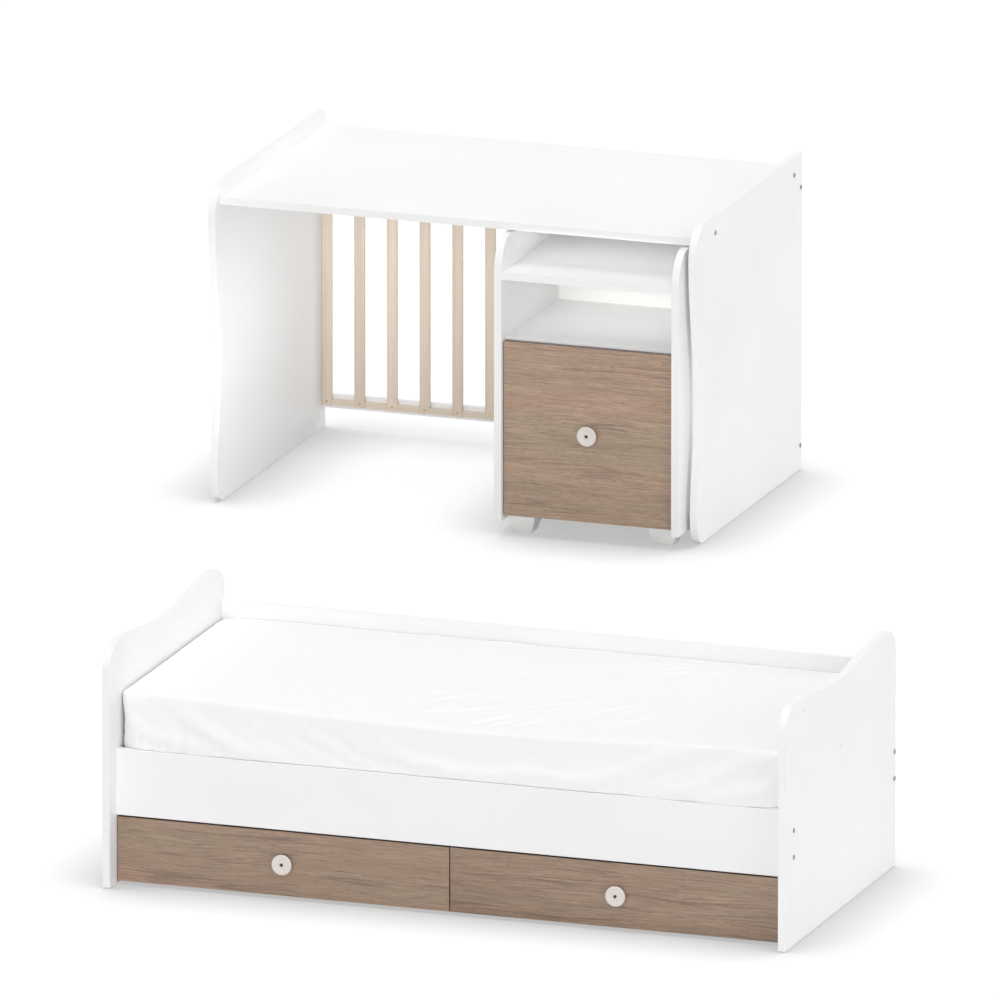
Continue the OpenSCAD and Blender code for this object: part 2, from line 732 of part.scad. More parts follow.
function loop(l, w, r, pull) = let (x = l / 2 - r, y = w / 2 - r) concat(
    corner_arc(x, y, r, 0),
    edge_run([x, w / 2], [-x, w / 2], long_steps, [0, 1], pull),
    corner_arc(-x, y, r, 90),
    edge_run([-l / 2, y], [-l / 2, -y], short_steps, [-1, 0], pull),
    corner_arc(-x, -y, r, 180),
    edge_run([-x, -w / 2], [x, -w / 2], long_steps, [0, -1], pull),
    corner_arc(x, -y, r, 270),
    edge_run([l / 2, -y], [l / 2, y], short_steps, [1, 0], pull));

// How far the top lies below its full height at a point, deepest at the front's middle
function sag_at(p) = mattress_sag * pow(cos(180 * p[0] / mattress_l / 1.1), 2)
    * (0.5 - p[1] / mattress_w);

// Loops of the side, by angle round the edge, then of the crowned top, by distance inward
function side_loops(grow) = [for (a = [-90, -50, -20, 20, 50, 90])
    let (inset = mattress_edge * (1 - cos(a)) - grow,
        rise = a < 0 ? mattress_edge * (1 + sin(a)) - grow
            : mattress_h - mattress_edge * (1 - sin(a)) + grow)
    [for (p = loop(mattress_l - 2 * inset, mattress_w - 2 * inset,
            max(mattress_corner - inset, 8), mattress_draw))
        [p[0], p[1], rise - (a > 0 ? sag_at(p) * (a / 90) : 0)]]];

function top_loops(grow) = [for (s = [0.82, 0.55, 0.2])
    [for (p = loop(mattress_l * s, mattress_w * s, mattress_corner * s, mattress_draw * s))
        [p[0], p[1], mattress_h + grow + mattress_crown * (1 - s * s) - sag_at(p)]]];

module cushion(grow) {
    rings = concat(side_loops(grow), top_loops(grow));
    n = len(rings[0]);
    m = len(rings);
    points = concat([for (r = rings) each r], [[0, 0, -grow],
        [0, 0, mattress_h + grow + mattress_crown - sag_at([0, 0])]]);
    sides = [for (j = [0:m - 2], i = [0:n - 1]) let (k = (i + 1) % n)
        each [[j * n + i, (j + 1) * n + k, j * n + k], [j * n + i, (j + 1) * n + i,
            (j + 1) * n + k]]];
    caps = [for (i = [0:n - 1]) let (k = (i + 1) % n)
        each [[i, k, m * n], [(m - 1) * n + k, (m - 1) * n + i, m * n + 1]]];
    polyhedron(points, concat(sides, caps));
}

module at_mattress() at_bed()
    translate([bed_l / 2, (rail_back_face + back_rail_face) / 2, mattress_z]) children();

module mattress() color(foam) at_mattress() cushion(0);

module fitted_sheet() color(cotton) at_mattress() difference() {
    cushion(soft_gap + sheet_t);
    cushion(soft_gap);
    translate([sheet_hem - mattress_l / 2, sheet_hem - mattress_w / 2, -mattress_h / 2])
        cube([mattress_l - 2 * sheet_hem, mattress_w - 2 * sheet_hem, mattress_h / 2 + 1]);
}

// Desk

desk_rail_bolts = [bottom_rail_z + bolt_d * 1.5, desktop_z - top_rail_h / 2];

module desk_bolt_places() {
    for (y = [desktop_setback + desktop_bolt_inset, desk_w - desktop_back_bolt])
        translate([0, y, desktop_z + board_t / 2]) children();
    for (z = desk_rail_bolts) translate([0, desk_w - board_t / 2, z]) children();
}

// Side panel with its outer face at x = 0
module desk_panel() difference() {
    upright(concat([for (p = desk_edge) [desk_w - p[1], desk_h - p[0]]],
        [[desk_w, glide_h], [desk_w, desk_h]]));
    desk_bolt_places() bolt_hole();
}

module desk_left_panel() color(white) at_desk() desk_panel();

module desk_right_panel() color(white) at_desk()
    translate([desk_l, 0, 0]) mirror([1, 0, 0]) desk_panel();

module desk_top() color(white) at_desk() difference() {
    box(board_t, desktop_setback, desktop_z,
        [desk_l - 2 * board_t, desk_w - desktop_setback, board_t]);
    both_ends(desk_l) desk_bolt_places() bolt_hole();
}

back_screw_len = back_slat_t + 14;

module back_slat_places() for (i = [0:back_slat_count - 1])
    translate([back_slat_x0 + i * back_slat_step, 0, 0]) children();

module back_screw_spots() back_slat_places()
    for (z = [back_slat_z0 + slat_screw_inset, back_slat_z1 - slat_screw_inset])
        translate([back_slat_w / 2, slat_front_y, z]) rotate([90, 0, 0]) children();

module desk_top_rail() color(white) at_desk() difference() {
    box(board_t, back_rail_y, desktop_z - top_rail_h,
        [desk_l - 2 * board_t, board_t, top_rail_h]);
    both_ends(desk_l) desk_bolt_places() bolt_hole();
    back_screw_spots() screw_hole(back_screw_len);
}

module desk_bottom_rail() color(white) at_desk() difference() {
    box(board_t, back_rail_y, bottom_rail_z, [desk_l - 2 * board_t, board_t, bottom_rail_h]);
    both_ends(desk_l) desk_bolt_places() bolt_hole();
    back_screw_spots() screw_hole(back_screw_len);
}

module desk_slats() color(beech) at_desk() difference() {
    back_slat_places() box(0, slat_front_y, back_slat_z0,
        [back_slat_w, back_slat_t, back_slat_z1 - back_slat_z0]);
    back_screw_spots() screw_hole(back_screw_len);
}

module desk_slat_fillets() color(beech) at_desk() for (i = [0:back_slat_count - 2],
        z = [back_slat_z0, back_slat_z1 - fillet_h])
    box(back_slat_x0 + i * back_slat_step + back_slat_w + fillet_slip, back_rail_y - fillet_t,
        z, [back_slat_step - back_slat_w - 2 * fillet_slip, fillet_t, fillet_h]);

module desk_slat_screws() color(steel) at_desk() back_screw_spots() screw(back_screw_len);

module desk_bolts() color(steel) at_desk() both_ends(desk_l) desk_bolt_places() bolt();

module desk_floor_glides() color(knob_grey) at_desk() both_ends(desk_l)
    for (y = [desk_foot_setback + desk_foot_drop + glide_inset / 2, desk_w - glide_inset])
        translate([board_t / 2, y, 0]) glide();

// Cabinet

// Screws through the sides into the boards between them
module carcass_screws() {
    for (y = [carcass_screw_inset, compartment_back_y - carcass_screw_inset],
            z = [compartment_floor_z, shelf_z])
        translate([0, y, z + board_t / 2]) rotate([0, -90, 0]) children();
    for (y = [carcass_screw_inset, cabinet_side_d - carcass_screw_inset])
        translate([0, y, foot_h + board_t / 2]) rotate([0, -90, 0]) children();
    for (y = [deck_y + carcass_screw_inset, cabinet_side_d - carcass_screw_inset])
        translate([0, y, deck_z + board_t / 2]) rotate([0, -90, 0]) children();
    for (z = [foot_h + board_t + carcass_screw_inset, shelf_z - carcass_screw_inset])
        translate([0, compartment_back_y + inner_back_t / 2, z]) rotate([0, -90, 0]) children();
}

carcass_screw_l = board_t + 30;

module panel_screws() for (z = [foot_h + board_t / 2, deck_z + board_t / 2],
        x = [panel_screw_inset, cabinet_w / 2, cabinet_w - panel_screw_inset])
    translate([x, cabinet_d, z]) rotate([-90, 0, 0]) children();

panel_screw_l = back_panel_t + 16;

module foot_places() for (x = [foot_inset, cabinet_w - foot_inset],
        y = [foot_front, cabinet_side_d - foot_front])
    translate([x, y, 0]) children();

module foot_screw_places() foot_places() translate([0, 0, foot_h + board_t]) children();

foot_screw_l = board_t + 28;

module cabinet_side() difference() {
    translate([0, 0, cabinet_side_z]) upright(concat(cabinet_edge,
        [[cabinet_side_d, 0], [0, 0]]));
    carcass_screws() screw_hole(carcass_screw_l);
}

module between_sides(y, z, size) difference() {
    box(board_t, y, z, [cabinet_inner_w, size[0], size[1]]);
    both_ends(cabinet_w) carcass_screws() screw_hole(carcass_screw_l);
}

module cabinet_left_side() color(white) at_cabinet() cabinet_side();

module cabinet_right_side() color(white) at_cabinet()
    translate([cabinet_w, 0, 0]) mirror([1, 0, 0]) cabinet_side();

module cabinet_upper_shelf() color(white) at_cabinet()
    between_sides(shelf_setback, shelf_z, [deck_y - shelf_setback, board_t]);

module cabinet_rear_deck() color(white) at_cabinet() difference() {
    between_sides(deck_y, deck_z, [cabinet_side_d - deck_y, board_t]);
    panel_screws() screw_hole(panel_screw_l);
}

module cabinet_compartment_floor() color(white) at_cabinet()
    between_sides(front_back_y + 1, compartment_floor_z,
        [compartment_back_y - front_back_y - 1, board_t]);

module cabinet_bottom_board() color(white) at_cabinet() difference() {
    between_sides(front_back_y + 1, foot_h, [cabinet_side_d - front_back_y - 1, board_t]);
    panel_screws() screw_hole(panel_screw_l);
    foot_screw_places() screw_hole(foot_screw_l);
}

module cabinet_inner_back() color(white) at_cabinet()
    between_sides(compartment_back_y, foot_h + board_t,
        [inner_back_t, shelf_z - foot_h - board_t]);

module cabinet_back_panel() color(hardboard) at_cabinet() difference() {
    box(0, cabinet_side_d, foot_h, [cabinet_w, back_panel_t, deck_z + board_t - foot_h]);
    panel_screws() screw_hole(panel_screw_l);
}

module foot_side() rotate([90, 0, 0]) linear_extrude(foot_top_w, center = true)
    polygon([[-foot_top_w / 2, foot_h], [-foot_top_w / 2, foot_h - foot_plate_h],
        [-foot_floor_w / 2, 0], [foot_floor_w / 2, 0],
        [foot_top_w / 2, foot_h - foot_plate_h], [foot_top_w / 2, foot_h]]);

module cabinet_feet() color(white) at_cabinet() difference() {
    foot_places() intersection() {
        foot_side();
        rotate([0, 0, 90]) foot_side();
    }
    foot_screw_places() screw_hole(foot_screw_l);
}

module cabinet_screws() color(steel) at_cabinet() {
    both_ends(cabinet_w) carcass_screws() screw(carcass_screw_l);
    panel_screws() screw(panel_screw_l);
    foot_screw_places() screw(foot_screw_l);
}

module cabinet_drawer_rails() color(beech) in_cabinet_drawer()
    drawer_rails(cabinet_box_w, cabinet_box_d, cabinet_box_h);

cabinet_front_z = foot_h - cabinet_box_z;
cabinet_front_x = front_gap - runner_gap;

module cabinet_knob_place() translate([cabinet_front_x + cabinet_front_w / 2, -front_t,
    cabinet_front_z + cabinet_front_h / 2]) rotate([90, 0, 0]) children();

module cabinet_drawer_front() color(oak) in_cabinet_drawer()
    drawer_front(cabinet_front_x, cabinet_front_z, cabinet_front_w, cabinet_front_h,
        cabinet_box_w, cabinet_box_h);
module cabinet_drawer_sides() color(white) in_cabinet_drawer()
    drawer_sides(cabinet_box_w, cabinet_box_d, cabinet_box_h);
module cabinet_drawer_back() color(white) in_cabinet_drawer()
    drawer_back(cabinet_box_w, cabinet_box_d, cabinet_box_h);
module cabinet_drawer_bottom() color(hardboard) in_cabinet_drawer()
    drawer_bottom(cabinet_box_w, cabinet_box_d);
module cabinet_drawer_runners() color(steel) in_cabinet_drawer()
    drawer_runners(cabinet_box_w, cabinet_box_d, cabinet_box_h);
module cabinet_drawer_fittings() color(steel) in_cabinet_drawer() {
    drawer_fittings(cabinet_box_w, cabinet_box_d, cabinet_box_h);
    cabinet_knob_place() knob_screw();
}
module cabinet_drawer_knob() color(knob_grey) in_cabinet_drawer() cabinet_knob_place() knob();

bed_left_end_board();
bed_right_end_board();
bed_front_rail();
bed_back_rail();
bed_back_guard();
bed_guard_dowels();
bed_centre_support();
bed_slat_ledges();
bed_slats();
bed_slat_screws();
bed_bolts();
bed_hole_caps();
bed_floor_glides();
bed_drawer_rails();
left_drawer_front();
left_drawer_sides();
left_drawer_back();
left_drawer_bottom();
left_drawer_runners();
left_drawer_fittings();
left_drawer_knob();
right_drawer_front();
right_drawer_sides();
right_drawer_back();
right_drawer_bottom();
right_drawer_runners();
right_drawer_fittings();
right_drawer_knob();
mattress();
fitted_sheet();
desk_left_panel();
desk_right_panel();
desk_top();
desk_top_rail();
desk_bottom_rail();
desk_slats();
desk_slat_fillets();
desk_slat_screws();
desk_bolts();
desk_floor_glides();
cabinet_left_side();
cabinet_right_side();
cabinet_upper_shelf();
cabinet_rear_deck();
cabinet_compartment_floor();
cabinet_bottom_board();
cabinet_inner_back();
cabinet_back_panel();
cabinet_feet();
cabinet_screws();
cabinet_drawer_rails();
cabinet_drawer_front();
cabinet_drawer_sides();
cabinet_drawer_back();
cabinet_drawer_bottom();
cabinet_drawer_runners();
cabinet_drawer_fittings();
cabinet_drawer_knob();
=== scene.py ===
import json
from math import copysign, cos, exp, pi, radians, sin, sqrt

import bmesh
import bpy
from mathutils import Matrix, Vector, noise


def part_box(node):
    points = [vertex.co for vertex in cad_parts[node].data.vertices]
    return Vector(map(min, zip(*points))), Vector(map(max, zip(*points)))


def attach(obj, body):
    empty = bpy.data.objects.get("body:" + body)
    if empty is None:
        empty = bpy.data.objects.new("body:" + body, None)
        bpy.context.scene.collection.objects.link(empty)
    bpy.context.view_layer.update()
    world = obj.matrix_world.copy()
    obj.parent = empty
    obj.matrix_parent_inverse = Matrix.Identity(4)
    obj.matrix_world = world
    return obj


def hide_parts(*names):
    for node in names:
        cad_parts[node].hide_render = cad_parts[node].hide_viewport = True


mm = 0.001  # every length below is written in millimetres times this
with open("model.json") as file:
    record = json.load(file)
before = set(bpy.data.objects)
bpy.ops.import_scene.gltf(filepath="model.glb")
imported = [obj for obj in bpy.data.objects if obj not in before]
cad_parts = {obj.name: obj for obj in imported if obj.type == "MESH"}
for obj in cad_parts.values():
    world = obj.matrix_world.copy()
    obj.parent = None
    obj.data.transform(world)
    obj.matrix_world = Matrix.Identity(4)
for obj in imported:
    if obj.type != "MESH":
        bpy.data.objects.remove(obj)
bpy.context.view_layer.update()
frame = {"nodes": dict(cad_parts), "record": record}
bodyOf = {n: b for b, members in frame["record"]["behaviour"]["bodies"].items() for n in members}
scene = bpy.context.scene
print("frame loaded:", len(frame["nodes"]), "nodes")


# Small helpers

def toLinear(hexColour):
    parts = [int(hexColour[i:i + 2], 16) / 255 for i in (1, 3, 5)]
    return [c / 12.92 if c <= 0.04045 else ((c + 0.055) / 1.055) ** 2.4 for c in parts] + [1]


def darkened(hexColour, share):
    return [c * share for c in toLinear(hexColour)[:3]] + [1]


def emptyTree(owner):
    owner.use_nodes = True
    owner.node_tree.nodes.clear()
    return owner.node_tree


def addNode(tree, kind, values=(), **settings):
    # One node with its settings, and its values by socket or in their order. A hex colour is turned
    # to linear, and a socket, or a node for its first output, is linked
    node = tree.nodes.new(kind)
    for name, value in settings.items():
        setattr(node, name, value)
    for socket, value in values.items() if isinstance(values, dict) else enumerate(values):
        if isinstance(value, bpy.types.Node):
            value = value.outputs[0]
        if isinstance(value, bpy.types.NodeSocket):
            tree.links.new(value, node.inputs[socket])
        else:
            isColour = isinstance(value, str) and value.startswith("#")
            node.inputs[socket].default_value = toLinear(value) if isColour else value
    return node


def newPiece(name, data):
    piece = bpy.data.objects.new(name, data)
    scene.collection.objects.link(piece)
    return piece


def placed(piece, body, slot, *nodes):
    # A finished piece stands for its CAD nodes and moves with their body
    if nodes:
        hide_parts(*nodes)
    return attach(piece, body)


def settled(piece):
    # Turns the modifiers' result into the piece's own plain mesh
    ready = bpy.context.evaluated_depsgraph_get()
    mesh = bpy.data.meshes.new_from_object(piece.evaluated_get(ready))
    piece.modifiers.clear()
    piece.data = mesh
    return piece


def smoothUnder(mesh, degrees):
    mesh.polygons.foreach_set("use_smooth", [True] * len(mesh.polygons))
    mesh.set_sharp_from_angle(angle=radians(degrees))


def smoothStep(low, high, value):
    t = max(0.0, min(1.0, (value - low) / (high - low)))
    return t * t * (3 - 2 * t)


# Materials

def startMaterial(name):
    # A new material, its tree and its Object coordinates
    material = bpy.data.materials.new(name)
    tree = emptyTree(material)
    return material, tree, addNode(tree, "ShaderNodeTexCoord").outputs["Object"]


def patternAt(tree, place, size, detail=3.0, roughness=0.5, shift=None):
    # A cloudy pattern at a real size: one length for all axes, or one each and 0 where it doesn't
    # change. A shift gives every board its own place in the pattern
    sizes = size if isinstance(size, (list, tuple)) else [size] * 3
    scale = [1 / length if length else 0 for length in sizes]
    scaled = addNode(tree, "ShaderNodeMapping", {"Vector": place, "Scale": scale})
    values = {"Vector": scaled, "Scale": 1.0, "Detail": detail, "Roughness": roughness}
    if shift is not None:
        values["W"] = shift
    dimensions = "3D" if shift is None else "4D"
    return addNode(tree, "ShaderNodeTexNoise", values, noise_dimensions=dimensions)


def overlaid(tree, pattern, low, high, below, above, most=1.0):
    # Lays the second colour over the first where the pattern rises from low to high
    mask = addNode(tree, "ShaderNodeMapRange", (pattern, low, high, 0.0, most))
    both = addNode(tree, "ShaderNodeMix", {0: mask, 6: below, 7: above}, data_type="RGBA")
    return both.outputs[2]


def shaded(tree, colour, brightness):
    # Lightens or darkens a colour by a brightness around 1
    grey = addNode(tree, "ShaderNodeCombineColor", (brightness, brightness, brightness))
    both = addNode(tree, "ShaderNodeMix", {0: 1.0, 6: colour, 7: grey},
                   data_type="RGBA", blend_type="MULTIPLY")
    return both.outputs[2]


def waveAlong(tree, coordinate, size):
    # One crest to each size along a coordinate
    turn = addNode(tree, "ShaderNodeMath", (coordinate, 2 * pi / size), operation="MULTIPLY")
    return addNode(tree, "ShaderNodeMath", (turn,), operation="SINE")


def dressed(material, shader, colour, gloss, relief):
    # What every finish ends in: a shader with its fixed values and its colour; a roughness that
    # follows a pattern, as (pattern, low, high, roughness at low, roughness at high); and a relief,
    # as (pattern, depth, strength)
    tree = material.node_tree
    rough = addNode(tree, "ShaderNodeMapRange", gloss)
    pattern, depth, strength = relief
    bump = addNode(tree, "ShaderNodeBump", {
        "Height": pattern, "Distance": depth, "Strength": strength})
    skin = addNode(tree, "ShaderNodeBsdfPrincipled", {
        **shader, "Base Color": colour, "Roughness": rough, "Normal": bump})
    addNode(tree, "ShaderNodeOutputMaterial", {"Surface": skin})
    return material


whiteBoard = {
    "face": ("#F7F7F7", "#F4F4F4"),    # its tone and the tone of its slow clouds
    "inner": ("#F0EFEC", "#EDECE9"),   # the cabinet's inner back is a little warmer and darker: painted shade that tones down its fill light
    "cloudSize": 380 * mm,   # slow change of tone in the pressed paper
    "pearlSize": 5 * mm,     # real pearl print is about 1 mm, drawn coarser to show
    "pearlDepth": 0.05 * mm,
    "roughness": (0.37, 0.48),
}


def melamineWhite(name, tones):
    # Melamine-faced particle board, pressed: a satin white with a faint pearl in its gloss
    s = whiteBoard
    material, tree, place = startMaterial(name)
    cloud = patternAt(tree, place, s["cloudSize"], 2)
    pearl = patternAt(tree, place, s["pearlSize"], 3, 0.6)
    colour = overlaid(tree, cloud, 0.35, 0.65, *tones)
    return dressed(material, {"IOR": 1.5}, colour, (pearl, 0.3, 0.7, *s["roughness"]),
                   (pearl, s["pearlDepth"], 0.35))


oakPrint = {
    "grey": "#978571", "pink": "#A18472", "veinTone": "#6F5F55", "pore": "#6C5C52",
    "sway": (430 * mm, 110 * mm, 13 * mm),  # length, height and depth of the grain's slow bends
    "band": (1300 * mm, 20 * mm),           # length and height of the light and dark bands
    "bandTone": (0.92, 1.08),               # their brightness
    "zone": (900 * mm, 46 * mm),            # of the greyer and pinker zones
    "vein": (640 * mm, 20 * mm),
    "veinLine": (0.032, 0.7),               # how wide and how dark a vein is
    "veinGroup": (330 * mm, 40 * mm),
    "fibre": (90 * mm, 2.4 * mm),           # real fibres are under 1 mm high, drawn coarser to show
    "fibreTone": (0.56, 1.44),
    "poreSize": (20 * mm, 1.7 * mm),        # real pores are 0.3 mm high, drawn coarser to show
    "cabinetPaintedLight": 0.24,                          # painted light: how much lighter the cabinet's board is drawn, to lift it out of the shade it stands in
    "roughness": (0.5, 0.62),
    "relief": 0.1 * mm,
}


def oakLaminate(name):
    # Oak print on melamine-faced board: long sideways grain, dark veins, fine pores pressed in
    s = oakPrint
    material, tree, place = startMaterial(name)
    shift = addNode(tree, "ShaderNodeAttribute", attribute_name="boardShift").outputs["Fac"]
    length, height, depth = s["sway"]
    sway = patternAt(tree, place, (length, 0, height), 1, 0.4, shift)
    lift = addNode(tree, "ShaderNodeMapRange", (sway, 0.2, 0.8, -depth, depth))
    lifted = addNode(tree, "ShaderNodeCombineXYZ", {"Z": lift})
    moved = addNode(tree, "ShaderNodeVectorMath", (place, lifted), operation="ADD")

    def grain(size, detail, roughness):
        return patternAt(tree, moved, (size[0], 0, size[1]), detail, roughness, shift)

    zone = grain(s["zone"], 2, 0.5)
    band = grain(s["band"], 3, 0.6)
    fibre = grain(s["fibre"], 5, 0.8)
    pore = grain(s["poreSize"], 1, 0.5)
    colour = overlaid(tree, zone, 0.3, 0.7, s["grey"], s["pink"])
    # a vein is the narrow line where a slow noise passes its middle value, shown only in places
    width, strength = s["veinLine"]
    ridge = addNode(tree, "ShaderNodeMath", (grain(s["vein"], 2, 0.5), 0.5), operation="SUBTRACT")
    ridge = addNode(tree, "ShaderNodeMath", (ridge,), operation="ABSOLUTE")
    line = addNode(tree, "ShaderNodeMapRange", (ridge, 0.0, width, strength, 0.0))
    shown = addNode(tree, "ShaderNodeMapRange", (grain(s["veinGroup"], 1, 0.5), 0.44, 0.6))
    veined = addNode(tree, "ShaderNodeMath", (line, shown), operation="MULTIPLY")
    colour = overlaid(tree, veined, 0, 1, colour, s["veinTone"])
    # the shift is largest on the cabinet's board, which is drawn lighter: painted light that lifts
    # it out of the shade it stands in
    tone = addNode(tree, "ShaderNodeMapRange", (shift, 9.0, 12.0, 1.0, 1 + s["cabinetPaintedLight"]))
    for pattern, (darkest, lightest) in ((band, s["bandTone"]), (fibre, s["fibreTone"])):
        change = addNode(tree, "ShaderNodeMapRange", (pattern, 0.3, 0.7, darkest, lightest))
        tone = addNode(tree, "ShaderNodeMath", (tone, change), operation="MULTIPLY")
    colour = shaded(tree, colour, tone)
    pit = addNode(tree, "ShaderNodeMapRange", (pore, 0.56, 0.68, 0.0, 0.4))
    colour = overlaid(tree, pit, 0, 1, colour, s["pore"])
    pressed = addNode(tree, "ShaderNodeMath", (fibre, pit), operation="SUBTRACT")
    return dressed(material, {"IOR": 1.5}, colour, (pore, 0.4, 0.7, *s["roughness"]),
                   (pressed, s["relief"], 0.5))


edging = {"white": "#F6F6F6", "brown": "#5E4E40", "fleck": (14.4 * mm, 1.2 * mm, 14.4 * mm),
          "roughness": (0.34, 0.44), "relief": 0.03 * mm}


def plainEdging(name, tone):
    # Thermoplastic edging glued round a board: an even tone, a little glossier than the face
    s = edging
    material, tree, place = startMaterial(name)
    fleck = patternAt(tree, place, s["fleck"], 3, 0.6)
    colour = overlaid(tree, fleck, 0, 1, tone, darkened(tone, 0.97))
    return dressed(material, {"IOR": 1.5}, colour, (fleck, 0.3, 0.7, *s["roughness"]),
                   (fleck, s["relief"], 0.4))


beechWood = {
    "light": "#E8DACA", "dark": "#DDCCB8", "fleck": "#CDB9A1",
    "ring": (520 * mm, 9 * mm),     # growth rings along and across a slat
    "fleckSize": (5.5 * mm, 1.1 * mm),  # ray flecks, drawn a little wide to show
    "boardSize": (2.0, 2.0),        # so slow that each slat has one tone of its own
    "boardTone": (0.95, 1.04),
    "roughness": (0.38, 0.5),
    "relief": 0.1 * mm,
}


def lacqueredBeech(name, along):
    # Planed beech under clear lacquer: pale, with faint rings and short ray flecks along the grain
    s = beechWood
    shader = {"IOR": 1.5, "Coat Weight": 0.25, "Coat Roughness": 0.3}
    material, tree, place = startMaterial(name)
    shift = addNode(tree, "ShaderNodeAttribute", attribute_name="boardShift").outputs["Fac"]

    def grain(size, detail, roughness):
        sizes = [size[0] if axis == along else size[1] for axis in range(3)]
        return patternAt(tree, place, sizes, detail, roughness, shift)

    ring = grain(s["ring"], 4, 0.55)
    fleck = grain(s["fleckSize"], 1, 0.5)
    tone = grain(s["boardSize"], 0, 0.5)
    colour = overlaid(tree, ring, 0.32, 0.68, s["light"], s["dark"])
    colour = overlaid(tree, fleck, 0.6, 0.72, colour, s["fleck"], 0.5)
    darkest, lightest = s["boardTone"]
    value = addNode(tree, "ShaderNodeMapRange", (tone, 0.3, 0.7, darkest, lightest))
    colour = shaded(tree, colour, value)
    return dressed(material, shader, colour, (ring, 0.3, 0.7, *s["roughness"]),
                   (ring, s["relief"], 0.4))


lacquer = {"tones": ("#FCFCFA", "#F8F7F5"), "peelSize": 2.6 * mm, "cloudSize": 60 * mm,
           "roughness": (0.4, 0.5), "relief": 0.05 * mm}


def whiteLacquer(name):
    # Sprayed lacquer on wood: soft white with a slight orange peel
    s = lacquer
    material, tree, place = startMaterial(name)
    peel = patternAt(tree, place, s["peelSize"], 2)
    cloud = patternAt(tree, place, s["cloudSize"], 2)
    colour = overlaid(tree, cloud, 0, 1, *s["tones"])
    return dressed(material, {"IOR": 1.5}, colour, (cloud, 0.3, 0.7, *s["roughness"]),
                   (peel, s["relief"], 0.5))


moulding = {"grit": 0.9 * mm, "flow": 30 * mm, "relief": 0.04 * mm}


def mouldedPlastic(name, tone, roughness):
    # Moulded ABS or nylon: even colour with the mould's fine spark-eroded texture
    s = moulding
    material, tree, place = startMaterial(name)
    grit = patternAt(tree, place, s["grit"], 2, 0.6)
    flow = patternAt(tree, place, s["flow"], 2)
    colour = overlaid(tree, flow, 0, 1, tone, darkened(tone, 0.95))
    gloss = (grit, 0.3, 0.7, roughness - 0.05, roughness + 0.07)
    return dressed(material, {"IOR": 1.53}, colour, gloss, (grit, s["relief"], 0.5))


plating = {"mottle": 2.2 * mm, "relief": 0.03 * mm}


def zincPlated(name, tone, roughness):
    # Zinc-plated steel: a grey metal, slightly mottled where the plating crystallised
    s = plating
    material, tree, place = startMaterial(name)
    mottle = patternAt(tree, place, s["mottle"], 3, 0.6)
    colour = overlaid(tree, mottle, 0, 1, tone, darkened(tone, 0.72))
    gloss = (mottle, 0.3, 0.7, roughness - 0.06, roughness + 0.1)
    return dressed(material, {"Metallic": 1.0}, colour, gloss, (mottle, s["relief"], 0.4))


hardboard = {"tones": ("#EDEAE4", "#DCD5C9"), "fibre": (7 * mm, 4 * mm, 5 * mm),
             "roughness": (0.6, 0.78), "relief": 0.12 * mm}


def facedHardboard(name):
    # Thin hardboard with a white-painted face: matt, with pressed fibres showing through
    s = hardboard
    material, tree, place = startMaterial(name)
    fibre = patternAt(tree, place, s["fibre"], 5, 0.7)
    colour = overlaid(tree, fibre, 0.35, 0.7, *s["tones"])
    return dressed(material, {"IOR": 1.45}, colour, (fibre, 0.3, 0.7, *s["roughness"]),
                   (fibre, s["relief"], 0.5))


knitCotton = {
    "tones": ("#F8F8F8", "#F5F5F5"),
    "wale": 2.4 * mm,   # real jersey wales are about 0.8 mm, drawn coarser to show
    "course": 2.0 * mm,
    "fuzz": 9 * mm,
    "roughness": (0.86, 0.95),
    "relief": 0.12 * mm,
}


def jerseyCotton(name):
    # Cotton jersey: soft matt white, with fine knitted ribs and a little fuzz
    s = knitCotton
    shader = {"IOR": 1.45, "Sheen Weight": 0.06, "Sheen Roughness": 0.5}
    material, tree, place = startMaterial(name)
    x, y, z = addNode(tree, "ShaderNodeSeparateXYZ", (place,)).outputs
    down = addNode(tree, "ShaderNodeMath", (y, z), operation="ADD")
    ribs = waveAlong(tree, x, s["wale"]), waveAlong(tree, down, s["course"])
    knit = addNode(tree, "ShaderNodeMath", ribs, operation="MULTIPLY")
    fuzz = patternAt(tree, place, s["fuzz"], 4, 0.65)
    height = addNode(tree, "ShaderNodeMath", (knit, fuzz), operation="ADD")
    colour = overlaid(tree, fuzz, 0.3, 0.7, *s["tones"])
    return dressed(material, shader, colour, (fuzz, 0.3, 0.7, *s["roughness"]),
                   (height, s["relief"], 0.35))


twill = {"tones": ("#EAE6DC", "#F3F0E9"), "rib": 3 * mm, "roughness": (0.85, 0.92),
         "relief": 0.15 * mm}


def twillTicking(name):
    # Woven mattress ticking: off-white cotton with a fine slanted rib
    s = twill
    material, tree, place = startMaterial(name)
    x, y, z = addNode(tree, "ShaderNodeSeparateXYZ", (place,)).outputs
    slant = addNode(tree, "ShaderNodeMath", (x, y), operation="ADD")
    slant = addNode(tree, "ShaderNodeMath", (slant, z), operation="ADD")
    rib = waveAlong(tree, slant, s["rib"])
    colour = overlaid(tree, rib, -1, 1, *s["tones"])
    return dressed(material, {"IOR": 1.45, "Sheen Weight": 0.1}, colour,
                   (rib, -1, 1, *s["roughness"]), (rib, s["relief"], 0.5))


